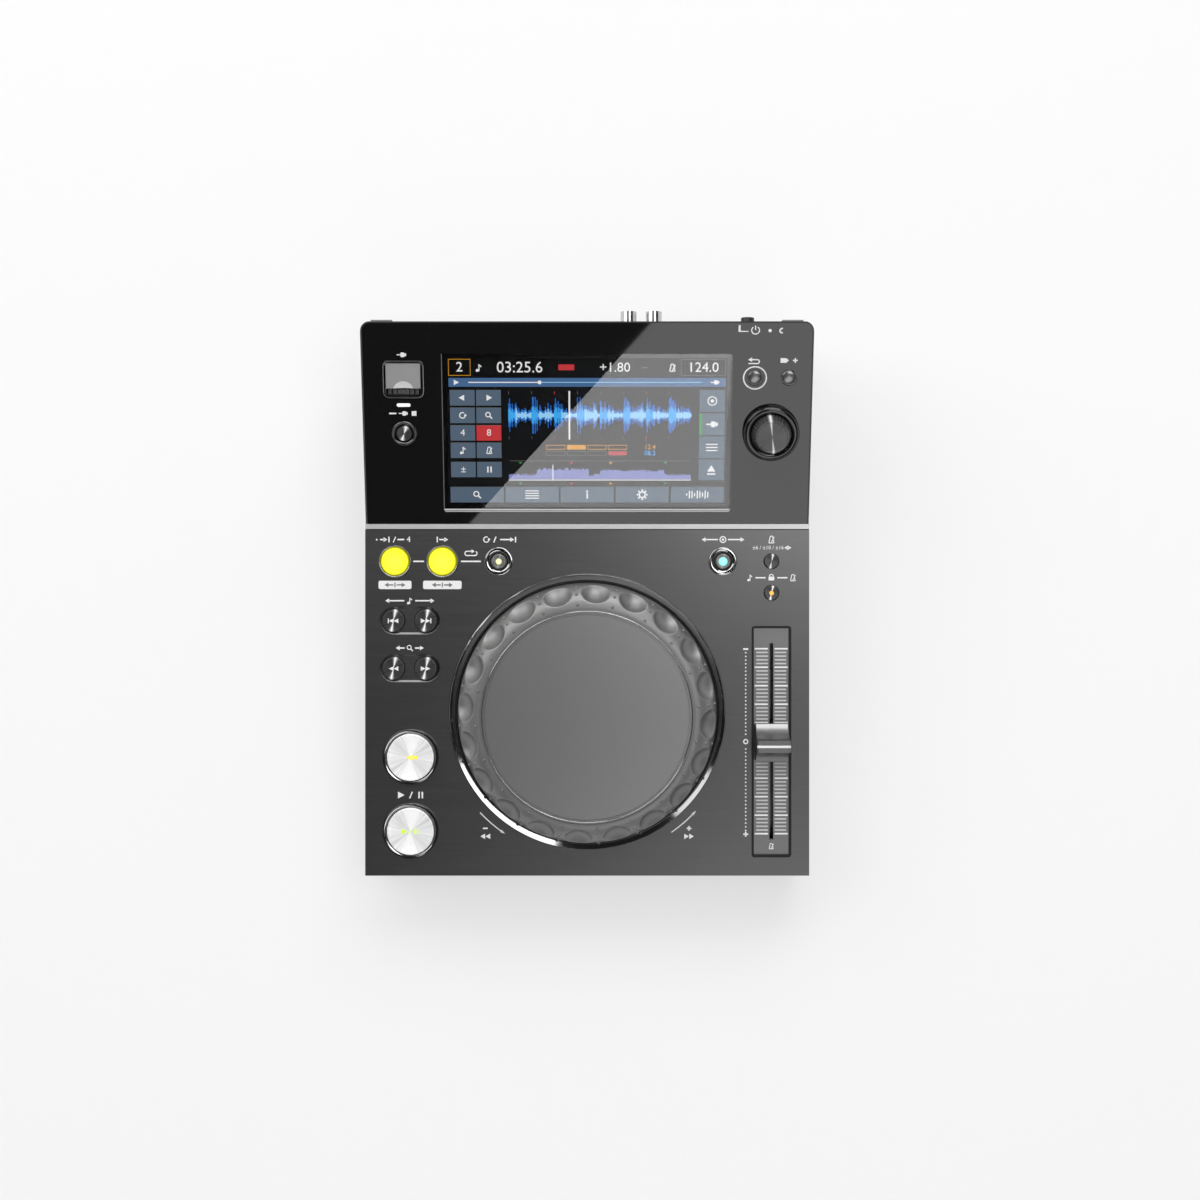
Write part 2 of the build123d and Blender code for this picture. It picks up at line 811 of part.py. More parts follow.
def fader_knob():
    """Slider cap: a ridge between two finger scoops."""
    low = -slider_sink + 2 * clearance
    end = knob_length / 2
    ridge = knob_ridge / 2
    scoop_y = (end + ridge) / 2 - knob_fillet
    scoop_z = knob_toe + (knob_height - knob_toe) / 4
    outline = [
        *Polyline((0, -end, knob_toe), (0, -end, low), (0, end, low), (0, end, knob_toe)).edges(),
        ThreePointArc((0, end, knob_toe), (0, scoop_y, scoop_z), (0, ridge, knob_height)),
        Line((0, ridge, knob_height), (0, -ridge, knob_height)),
        ThreePointArc((0, -ridge, knob_height), (0, -scoop_y, scoop_z), (0, -end, knob_toe)),
    ]
    cap = Pos(-knob_width / 2) * extrude(make_face(outline), amount=knob_width, dir=(1, 0, 0))
    sides = cap.faces().filter_by(Axis.X).edges().group_by(Axis.Z)
    cap = fillet([edge for level in sides[1:] for edge in level], knob_fillet)
    hole = block(lever_width + 2 * contact, lever_length + 2 * contact, low - cut_over,
                 knob_height - 2 * slider_sink - knob_toe + contact)
    return on_deck(tempo_x, slider_centre, cap - hole)


# Jog wheel
def ring_spigot():
    return jog_ring_radius - jog_ring_seat


def on_jog(shape):
    return on_deck(0, jog_centre, shape)


def jog_ring():
    inner = jog_ring_radius - jog_ring_width
    lip = jog_ring_rise / 4
    return on_jog(turned([
        (inner, -deck_plate),
        (ring_spigot(), -deck_plate),
        (ring_spigot(), 0),
        (jog_ring_radius, 0),
        (jog_ring_radius, jog_ring_rise - lip),
        (jog_ring_radius - lip, jog_ring_rise),
        (inner, jog_ring_rise / 2),
    ]))


hub_top = 1.0
bush_lip = 1.0
collar_low = hub_top + bush_lip + jog_press_travel + clearance
wheel_low = collar_low + collar_height + 2 * slip
disc_seat = wheel_low + 2.6
film_top = film_thickness


def jog_base():
    """Dish that seats on the skin and holds the bush."""
    hole = bush_radius + contact
    return on_jog(turned([
        (hole, -dish_depth),
        (dish_radius, -dish_depth),
        (dish_radius, -deck_plate),
        (dish_flange, -deck_plate),
        (dish_flange, 0),
        (dish_radius - dish_wall, 0),
        (dish_radius - dish_wall, -dish_depth + dish_wall),
        (hub_radius, -dish_depth + dish_wall),
        (hub_radius, hub_top),
        (hole, hub_top),
    ]))


def jog_bush():
    return on_jog(turned([
        (spindle_radius + running, -dish_depth),
        (bush_radius, -dish_depth),
        (bush_radius, hub_top),
        (hub_radius - slip, hub_top),
        (hub_radius - slip, hub_top + bush_lip),
        (spindle_radius + running, hub_top + bush_lip),
    ]))


def jog_board():
    """Ring board on the dish's floor with the optical reader for the slotted disc."""
    floor = -dish_depth + dish_wall
    top = floor + board_thickness
    board = disc(dish_radius - dish_wall - slip, floor, top) - disc(hub_radius + slip, floor - cut_over, top + cut_over)
    reader_top = disc_seat + sensor_arm + clearance
    reader = block(sensor_size, sensor_size, top, reader_top)
    gap_low = disc_seat - encoder_thickness - jog_press_travel - clearance
    reader -= Pos(-sensor_arm) * block(sensor_size, sensor_size + cut_over, gap_low, disc_seat + clearance)
    place = encoder_radius + 2 * clearance + sensor_arm - sensor_size / 2
    return group([on_jog(board), on_jog(Pos(place) * reader)])


def film_switch():
    """Pressure ring that closes when the platter is pressed."""
    return on_jog(disc(film_radius, 0, film_top) - disc(film_radius - film_width, -cut_over, film_top + cut_over))


def jog_spindle():
    top = web_top - plate_gap
    clip_top = -dish_depth - clearance
    return on_jog(turned([
        (0, clip_top - 2 * clip_height),
        (spindle_radius, clip_top - 2 * clip_height),
        (spindle_radius, clip_top - clip_height),
        (clip_radius, clip_top - clip_height),
        (clip_radius, clip_top),
        (spindle_radius, clip_top),
        (spindle_radius, collar_low),
        (collar_radius, collar_low),
        (collar_radius, collar_low + collar_height),
        (spindle_radius, collar_low + collar_height),
        (spindle_radius, top),
        (0, top),
    ]))


def jog_wheel():
    web_low = web_top - web_thickness
    inner_arc = shoulder_radius - rim_wall
    rib_low = film_top + jog_press_travel + clearance
    rib_out = film_radius - film_width / 4
    rib_in = film_radius - film_width * 3 / 4
    bore = spindle_radius + running
    mid = cos(radians(45))
    outline = [
        *Polyline([(r, 0, z) for r, z in [
            (shoulder_centre, shoulder_start + shoulder_radius),
            (shoulder_centre, web_top),
            (bore, web_top),
            (bore, wheel_low),
            (wheel_hub_radius, wheel_low),
            (wheel_hub_radius, disc_seat),
            (wheel_hub_shoulder, disc_seat),
            (wheel_hub_shoulder, web_low),
            (rib_in, web_low),
            (rib_in, rib_low),
            (rib_out, rib_low),
            (rib_out, web_low),
            (shoulder_centre - web_thickness, web_low),
            (shoulder_centre, shoulder_start + inner_arc),
        ]]).edges(),
        ThreePointArc((shoulder_centre, 0, shoulder_start + inner_arc),
                      (shoulder_centre + inner_arc * mid, 0, shoulder_start + inner_arc * mid),
                      (shoulder_centre + inner_arc, 0, shoulder_start)),
        *Polyline([(r, 0, z) for r, z in [
            (shoulder_centre + inner_arc, shoulder_start),
            (shoulder_centre + inner_arc, rim_bottom),
            (wheel_radius, rim_bottom),
            (wheel_radius, shoulder_start),
        ]]).edges(),
        ThreePointArc((wheel_radius, 0, shoulder_start),
                      (shoulder_centre + shoulder_radius * mid, 0, shoulder_start + shoulder_radius * mid),
                      (shoulder_centre, 0, shoulder_start + shoulder_radius)),
    ]
    wheel = revolve(make_face(outline), Axis.Z)
    out = shoulder_radius + dimple_radius - dimple_depth
    lean = radians(dimple_angle)
    dimple = Pos(0, shoulder_centre + out * cos(lean), shoulder_start + out * sin(lean)) * Sphere(dimple_radius)
    pitch = 360 / dimple_count
    return on_jog(wheel - [Rot(0, 0, -dimple_start - i * pitch) * dimple for i in range(dimple_count)])


def jog_plate():
    return on_jog(turned([
        (0, web_top),
        (disc_radius, web_top),
        (disc_radius, plate_top - plate_bevel),
        (disc_radius - plate_bevel, plate_top),
        (0, plate_top),
    ]))


def encoder_disc():
    low = disc_seat - encoder_thickness
    plate = disc(encoder_radius, low, disc_seat) - disc(wheel_hub_radius + contact, low - cut_over, disc_seat + cut_over)
    slot = Pos(encoder_radius - encoder_slot_length) * block(
        encoder_slot_length, encoder_thickness * 2, low - cut_over, disc_seat + cut_over)
    return on_jog(plate - [Rot(0, 0, i * 360 / encoder_slots) * slot for i in range(encoder_slots)])


# Rotary selector
def on_selector(shape):
    return on_panel(selector_x, selector_t, shape)


encoder_low = -panel_depth - board_drop
encoder_high = -panel_depth - encoder_top_gap


def selector_collar():
    inner = knob_skirt + clearance
    return on_selector(turned([
        (inner, -fascia_plate),
        (collar_spigot, -fascia_plate),
        (collar_spigot, 0),
        (collar_outer, 0),
        (collar_outer - bezel_bevel, collar_rise - 2 * bezel_bevel),
        (collar_outer - 3 * bezel_bevel, collar_rise),
        (inner + bezel_bevel, collar_rise),
        (inner, collar_rise - bezel_bevel),
    ]))


def selector_encoder():
    body = block(encoder_body, encoder_body, encoder_low, encoder_high)
    body += disc(encoder_bush, encoder_high, -encoder_bush_top)
    body -= disc(shaft_radius + running, encoder_low - cut_over, 0)
    room_low = encoder_low + rotor_cover
    return on_selector(body - disc(rotor_radius + clearance, room_low, encoder_high - rotor_cover))


def selector_rotor():
    low = encoder_low + rotor_cover + clearance
    high = encoder_high - rotor_cover - clearance
    return on_selector(disc(rotor_radius, low, high) - disc(shaft_radius + running, low - cut_over, high + cut_over))


def selector_shaft():
    return on_selector(disc(shaft_radius, encoder_low + clearance, knob_top - 2 * selector_travel))


def selector_knob():
    low = selector_travel + selector_lift
    seat = knob_top - 2 * selector_travel
    bore = shaft_radius + contact
    return on_selector(turned([
        (bore, low),
        (knob_skirt, low),
        (knob_skirt, knob_shoulder),
        (knob_face + bezel_bevel, knob_top - bezel_bevel),
        (knob_face, knob_top),
        (0, knob_top),
        (0, seat + contact),
        (bore, seat + contact),
    ]))


# USB port, about the middle of its frame
hinge_t = well_length / 2 - hinge_back
flap_front = ledge_length - well_length / 2 + clearance
hinge_w = -flap_sink - flap_thickness / 2


def on_port(shape):
    return on_panel(usb_x, usb_t, shape)


def usb_frame():
    frame = slab(frame_width, frame_length, frame_corner, -frame_depth, frame_rise)
    frame += slab(frame_width + 2 * frame_flange, frame_length + 2 * frame_flange, frame_corner,
                  -frame_depth, -panel_depth)
    frame -= slab(well_width, well_length, well_corner, -well_depth, cut_over)
    ledge_y = (ledge_length - well_length) / 2
    ledge = Pos(0, ledge_y) * block(well_width, ledge_length, -well_depth, -ledge_depth)
    frame += ledge & slab(frame_width, frame_length, frame_corner, -well_depth, 0)
    pitch = (well_width - 2 * well_corner) / (ledge_ribs - 1)
    rib = block(pitch / 3, ledge_length - 2 * rib_height, -ledge_depth, -ledge_depth + rib_height)
    frame += [Pos((i - (ledge_ribs - 1) / 2) * pitch, ledge_y) * rib for i in range(ledge_ribs)]
    frame -= Pos(0, usb_shift) * block(
        usb_slot_width + 2 * contact, usb_slot_height + 2 * contact, -frame_depth - cut_over, 0)
    span = flap_width + 2 * (trunnion_length + clearance)
    hole = Cylinder(trunnion_radius + trunnion_gap, span, rotation=(0, 90, 0))
    return on_port(frame - Pos(0, hinge_t, hinge_w) * hole)


def usb_socket():
    """Metal shell with its tongue."""
    low = -well_depth - usb_length
    base = low + usb_base
    shell = block(usb_slot_width, usb_slot_height, low, -well_depth)
    shell -= block(usb_slot_width - 2 * usb_shell, usb_slot_height - 2 * usb_shell, base, -well_depth + cut_over)
    tongue = block(usb_slot_width - 6 * usb_shell, usb_tongue, base - contact, -well_depth - usb_tongue_sink)
    return on_port(Pos(0, usb_shift) * (shell + tongue))


def usb_flap():
    plate_length = hinge_t - flap_front
    low = -flap_sink - flap_thickness
    flap = Pos(0, hinge_t - plate_length / 2) * block(flap_width, plate_length, low, -flap_sink)
    flap += Pos(0, hinge_t, hinge_w) * Cylinder(flap_thickness / 2, flap_width, rotation=(0, 90, 0))
    pin = Cylinder(trunnion_radius, flap_width + 2 * trunnion_length, rotation=(0, 90, 0))
    flap += Pos(0, hinge_t, hinge_w) * pin
    half = scoop_width / 2
    ball = (half ** 2 + scoop_depth ** 2) / (2 * scoop_depth)
    scoop_t = flap_front + scoop_length - half
    return on_port(flap - Pos(0, scoop_t, -flap_sink + ball - scoop_depth) * Sphere(ball))


# Rear face
def rear_panel():
    width = window_right - window_left + 2 * (sheet_lap + head_radius)
    height = window_top - window_sill + 2 * sheet_lap
    middle_x = (window_left + window_right) / 2
    middle_z = (window_sill + window_top) / 2
    plate = on_rear(middle_x, middle_z, block(width, height, -wall - sheet, -wall))
    cuts = [on_rear(x, phono_z(), disc(phono_radius + slip, -wall - sheet - cut_over, cut_over)) for x in phono_places()]
    for x, z, wide, high in socket_windows():
        cuts.append(on_rear(x, z, block(wide + 2 * slip, high + 2 * slip, -wall - sheet - cut_over, cut_over)))
    cuts += [on_rear(x, z, disc(screw_radius, -wall - sheet - cut_over, cut_over)) for x, z in rear_screws]
    return plate - cuts


def phono_z():
    return jack_height + phono_block_height / 2


def phono_places():
    return [phono_left, phono_left + phono_pitch]


def socket_windows():
    """Middle and size of each square socket in the rear panel."""
    return [
        (network_place, jack_height + network_height / 2, network_width, network_height),
        (usb_b_place, jack_height + usb_b_height / 2, usb_b_width, usb_b_height),
        (inlet_place, inlet_height, inlet_width, inlet_tall),
    ]


def phono_jacks():
    """Moulded pair with a metal sleeve on each socket."""
    back = -wall - sheet
    middle = phono_left + phono_pitch / 2
    wide = phono_pitch + phono_block_height
    core = on_rear(middle, phono_z(), block(wide, phono_block_height, back - phono_block_depth, back))
    inner = phono_radius - phono_shell
    core += [on_rear(x, phono_z(), disc(inner, back, phono_reach - phono_shell)) for x in phono_places()]
    core -= [on_rear(x, phono_z(), disc(phono_bore, back, phono_reach)) for x in phono_places()]
    sleeve = disc(phono_radius, back, phono_reach)
    sleeve += disc(phono_collar, -wall, -wall + phono_collar_thickness)
    sleeve -= disc(inner, back - cut_over, phono_reach + cut_over)
    return group([core] + [on_rear(x, phono_z(), sleeve) for x in phono_places()])


def square_jack(width, height, depth, thick):
    """Housing with a cavity that opens at the rear panel."""
    front = -wall + jack_lip
    housing = block(width, height, front - depth, front)
    return housing - block(width - 2 * thick, height - 2 * thick, front - depth + thick, cut_over)


def network_jack():
    jack = square_jack(network_width, network_height, network_depth, network_wall)
    return on_rear(network_place, jack_height + network_height / 2, jack)


def usb_b_jack():
    jack = square_jack(usb_b_width, usb_b_height, usb_b_depth, usb_b_wall)
    low = -wall + jack_lip - usb_b_depth + usb_b_wall - contact
    jack += block(usb_b_width - 4 * usb_b_wall, usb_b_tongue, low, -wall - usb_b_wall)
    return on_rear(usb_b_place, jack_height + usb_b_height / 2, jack)


def ac_inlet():
    """Mains inlet with its two pins."""
    jack = square_jack(inlet_width, inlet_tall, inlet_depth, inlet_wall)
    low = -wall + jack_lip - inlet_depth + inlet_wall
    pin = disc(inlet_pin_radius, low, low + inlet_pin_length)
    pins = [Pos(side * inlet_pin_pitch / 2) * pin for side in (-1, 1)]
    return group([on_rear(inlet_place, inlet_height, shape) for shape in [jack] + pins])


def jack_board():
    left = usb_b_place - usb_b_width / 2 - hole_inset
    right = phono_left + phono_pitch + phono_block_height / 2 + hole_inset
    rear = y_rear - wall - sheet - slip
    return Pos((left + right) / 2, rear - jack_board_depth / 2) * block(
        right - left, jack_board_depth, jack_height - board_thickness, jack_height)


def rear_bumpers():
    place = half_width - bumper_edge - bumper_width / 2
    pad = block(bumper_width, bumper_height, 0, bumper_reach)
    return group([on_rear(side * place, bumper_seat + bumper_height / 2, pad) for side in (-1, 1)])


# Boards on the floor
def corner_holes(width, length):
    return [(a * (width / 2 - hole_inset), b * (length / 2 - hole_inset)) for a in (-1, 1) for b in (-1, 1)]


def floor_boards():
    return [(*main_board_place, main_board_width, main_board_length),
            (*power_board_place, power_board_width, power_board_length)]


def floor_board(place, width, length, fitted):
    """Board on its standoffs, with the parts soldered on it."""
    low = floor_top + standoff_height
    board = block(width, length, low, low + board_thickness)
    board -= [Pos(a, b) * disc(stake_radius + slip, low - cut_over, low + 2 * board_thickness)
              for a, b in corner_holes(width, length)]
    top = low + board_thickness
    parts = [Pos(x, y) * shape_on(top, size) for x, y, size in fitted]
    return group([Pos(*place) * shape for shape in [board] + parts])


def shape_on(top, size):
    """A box for three sizes, a can for a radius and a height."""
    if len(size) == 3:
        return block(size[0], size[1], top, top + size[2])
    return disc(size[0], top, top + size[1])


processor = (24.0, 24.0, 2.4)
memory = (12.0, 18.0, 1.4)
connector = (22.0, 6.0, 7.0)
transformer = (26.0, 24.0, 20.0)
capacitor = (6.0, 22.0)
heat_sink = (4.0, 30.0, 22.0)
main_parts = [(-20, 10, processor), (14, 14, memory), (14, -12, memory), (-50, -40, connector), (46, 40, connector)]
power_parts = [(-8, 8, transformer), (20, 16, capacitor), (20, -4, capacitor), (-20, -16, heat_sink)]


# Fasteners and feet
def case_screws():
    """Base screws, driven up into the posts, and the screws of the rear panel."""
    low = foot_height + clearance
    top = boss_height + screw_grip - clearance
    base = disc(head_radius, low, low + head_height) + disc(screw_radius - contact, low, top)
    rear_low = -wall - sheet - 3 * sheet
    rear = disc(head_radius, 0, head_height / 2) + disc(screw_radius - contact, rear_low, 0)
    solids = [Pos(x, y) * base for x, y in posts]
    return group(solids + [on_rear(x, z, rear) for x, z in rear_screws])


def feet():
    return group([Pos(x, y) * disc(foot_radius, 0, foot_height + foot_pocket) for x, y in feet_at])


def button_bezels():
    solids = [b.put(b.bezel.ring(deck_plate)) for b in deck_buttons if b.bezel]
    solids += [b.put(b.bezel.ring(fascia_plate)) for b in panel_buttons if b.bezel]
    return group(solids)


nodes = {
    "bottom_case": bottom_case(),
    "feet": feet(),
    "case_screws": case_screws(),
    "upper_case": upper_case(),
    "deck_panel": deck_panel(),
    "trim_strip": trim_strip(),
    "display_fascia": display_fascia(),
    "touch_glass": touch_glass(),
    "lcd_module": lcd_module(),
    "display_board": display_board(),
    "control_boards": control_boards(),
    "tact_switches": group([b.tact() for b in buttons]),
    "button_bezels": button_bezels(),
    "status_lenses": group(lenses(0, 0)),
    "fader_plate": fader_plate(),
    "fader_body": fader_body(),
    "fader_lever": fader_lever(),
    "fader_knob": fader_knob(),
    "jog_ring": jog_ring(),
    "jog_base": jog_base(),
    "jog_bush": jog_bush(),
    "jog_board": jog_board(),
    "film_switch": film_switch(),
    "jog_spindle": jog_spindle(),
    "jog_wheel": jog_wheel(),
    "jog_plate": jog_plate(),
    "encoder_disc": encoder_disc(),
    "selector_collar": selector_collar(),
    "selector_encoder": selector_encoder(),
    "selector_rotor": selector_rotor(),
    "selector_shaft": selector_shaft(),
    "selector_knob": selector_knob(),
    "usb_frame": usb_frame(),
    "usb_socket": usb_socket(),
    "usb_flap": usb_flap(),
    "rear_panel": rear_panel(),
    "rear_bumpers": rear_bumpers(),
    "phono_jacks": phono_jacks(),
    "network_jack": network_jack(),
    "usb_b_jack": usb_b_jack(),
    "ac_inlet": ac_inlet(),
    "jack_board": jack_board(),
    "main_board": floor_board(main_board_place, main_board_width, main_board_length, main_parts),
    "power_board": floor_board(power_board_place, power_board_width, power_board_length, power_parts),
}
nodes.update({b.name: b.cap() for b in buttons})

for name, shape in nodes.items():
    export_step(shape, f"parts/{name}.step")
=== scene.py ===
import json
import random
from math import atan2, cos, pi, radians, sin, sqrt

import bmesh
import bpy
from mathutils import Matrix, Vector

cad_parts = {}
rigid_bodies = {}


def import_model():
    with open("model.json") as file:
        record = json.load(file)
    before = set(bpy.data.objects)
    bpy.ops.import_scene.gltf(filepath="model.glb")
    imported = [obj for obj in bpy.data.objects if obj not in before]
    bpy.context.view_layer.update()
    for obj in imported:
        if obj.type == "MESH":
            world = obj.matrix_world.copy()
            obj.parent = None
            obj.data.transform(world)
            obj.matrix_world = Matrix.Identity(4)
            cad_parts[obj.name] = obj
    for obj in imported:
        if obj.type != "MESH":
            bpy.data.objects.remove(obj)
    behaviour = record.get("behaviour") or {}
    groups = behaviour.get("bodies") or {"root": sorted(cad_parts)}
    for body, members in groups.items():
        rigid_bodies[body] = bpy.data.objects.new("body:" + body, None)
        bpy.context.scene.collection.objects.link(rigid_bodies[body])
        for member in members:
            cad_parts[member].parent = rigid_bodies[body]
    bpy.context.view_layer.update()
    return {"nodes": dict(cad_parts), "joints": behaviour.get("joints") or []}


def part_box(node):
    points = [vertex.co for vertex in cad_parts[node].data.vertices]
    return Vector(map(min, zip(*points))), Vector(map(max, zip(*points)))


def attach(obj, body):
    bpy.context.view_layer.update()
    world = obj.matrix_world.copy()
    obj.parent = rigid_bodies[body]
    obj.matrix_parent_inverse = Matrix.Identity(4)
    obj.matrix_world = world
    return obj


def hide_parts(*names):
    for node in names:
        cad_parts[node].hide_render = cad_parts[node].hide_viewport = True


# Looks of a tabletop media player for disc jockeys. Sizes are in millimetres and degrees.
# A place on a sloping face is (across, up the slope), and heights are out of the face.
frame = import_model()
bpy.context.scene.view_settings.view_transform = "Standard"
nodes = frame["nodes"]
joints = {joint["name"]: joint for joint in frame["joints"]}
MM = 0.001
METRES = Matrix.Scale(MM, 4)


# Places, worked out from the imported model
def slope(node, normal):
    """A sloping face's own axes, from the middle of its nearest edge."""
    normal = Vector(normal)
    reach = max(normal.dot(v.co) for v in nodes[node].data.vertices)
    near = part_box(node)[0].y
    corner = Vector((0, near, (reach - normal.y * near) / normal.z)) / MM
    return Matrix.Translation(corner) @ Matrix.Rotation(atan2(-normal.y, normal.z), 4, "X")


DECK = slope("deck_panel", joints["jog_spin"]["axis"])
PANEL = slope("display_fascia", joints["selector_spin"]["axis"])
REAR = Matrix.Translation((0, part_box("upper_case")[1].y / MM, 0)) @ Matrix(
    ((-1, 0, 0, 0), (0, 0, 1, 0), (0, 1, 0, 0), (0, 0, 0, 1)))
BASE = Matrix.Rotation(pi, 4, "X")


def extent(node, face, side=0):
    """Lowest and highest corner of a node in a face's own axes, or of its half on one side."""
    inverse = face.inverted()
    points = [inverse @ (v.co / MM) for v in nodes[node].data.vertices if v.co.x * side >= 0]
    return [Vector(pick(p[i] for p in points) for i in range(3)) for pick in (min, max)]


def middle(node, face, side=0):
    low, high = extent(node, face, side)
    return (low.x + high.x) / 2, (low.y + high.y) / 2


def span(node, face, side=0):
    low, high = extent(node, face, side)
    return high.x - low.x, high.y - low.y


def top_of(node, face):
    return extent(node, face)[1].z


def at(face, spot, height=0):
    return face @ Matrix.Translation((*spot, height))


def over(node, face, sink=0.0):
    """Place over the middle of a node, at a depth below its top."""
    return at(face, middle(node, face), top_of(node, face) - sink)


def control(name, face=DECK):
    """Middle of a push button."""
    return middle(name + "_button", face)


# Shapes
def turned(outline, steps=96, ring=False):
    """Solid turned about Z from its (radius, height) outline, which ends on the axis or closes as a ring."""
    bm = bmesh.new()
    verts = [bm.verts.new((r, 0, z)) for r, z in outline]
    pairs = list(zip(verts, verts[1:]))
    if ring:
        pairs.append((verts[-1], verts[0]))
    edges = [bm.edges.new(pair) for pair in pairs]
    bmesh.ops.spin(bm, geom=verts + edges, cent=(0, 0, 0), axis=(0, 0, 1), angle=2 * pi, steps=steps,
                   use_merge=True)
    return tidy(bm)


def tidy(bm):
    bmesh.ops.remove_doubles(bm, verts=bm.verts, dist=1e-4)
    bmesh.ops.dissolve_degenerate(bm, dist=1e-5, edges=bm.edges)
    bmesh.ops.recalc_face_normals(bm, faces=bm.faces)
    return bm


def rounded(bm, edges, width, segments, clamp=True):
    bmesh.ops.bevel(bm, geom=edges, offset=width, segments=segments, profile=0.5, affect="EDGES",
                    material=-1, clamp_overlap=clamp)
    return bm


def soften(bm, width):
    """Rounds every edge that turns by more than 30 degrees."""
    sharp = [e for e in bm.edges if len(e.link_faces) == 2 and e.calc_face_angle(0) > radians(30)]
    return rounded(bm, sharp, width, 2)


def block(width, length, low, high):
    bm = bmesh.new()
    size = Matrix.Diagonal((width, length, high - low, 1))
    bmesh.ops.create_cube(bm, size=1, matrix=Matrix.Translation((0, 0, (low + high) / 2)) @ size)
    return bm


def slab(width, length, corner, low, high, segments=8):
    """Plate with rounded corners."""
    bm = block(width, length, low, high)
    upright = [e for e in bm.edges if abs(e.verts[0].co.z - e.verts[1].co.z) > 1e-6]
    return rounded(bm, upright, corner, segments, clamp=False)


def frame_of(width, length, corner, wall, low, high):
    """Rounded rectangular frame: a slab with its top inset and pushed through."""
    bm = slab(width, length, corner, low, high)
    caps = [f for f in bm.faces if abs(f.normal.z) > 0.5]
    bmesh.ops.inset_individual(bm, faces=caps, thickness=wall, use_even_offset=True)
    loops = [e for f in caps for e in f.edges]
    bmesh.ops.delete(bm, geom=caps, context="FACES_ONLY")
    bmesh.ops.bridge_loops(bm, edges=loops)
    return tidy(bm)


def sliced(bm, spot, normal, **settings):
    """Cuts a shape's faces along a plane, and gives the cut."""
    return bmesh.ops.bisect_plane(bm, geom=bm.verts[:] + bm.edges[:] + bm.faces[:], plane_co=spot,
                                  plane_no=normal, **settings)["geom_cut"]


def moved(bm, parts, shift):
    """Moves the points among some parts of a shape, and gives them."""
    points = [part for part in parts if isinstance(part, bmesh.types.BMVert)]
    bmesh.ops.translate(bm, verts=points, vec=shift)
    return points


def as_mesh(name, bm, place):
    """Mesh of a shape, moved to its place."""
    bm.transform(place)
    mesh = bpy.data.meshes.new(name)
    bm.to_mesh(mesh)
    bm.free()
    return mesh


def in_scene(name, data):
    new = bpy.data.objects.new(name, data)
    bpy.context.scene.collection.objects.link(new)
    return new


def merged(parts):
    """One shape from several, each moved to its place."""
    whole = bmesh.new()
    for bm, place in parts:
        mesh = as_mesh("part", bm, place)
        whole.from_mesh(mesh)
        bpy.data.meshes.remove(mesh)
    return whole


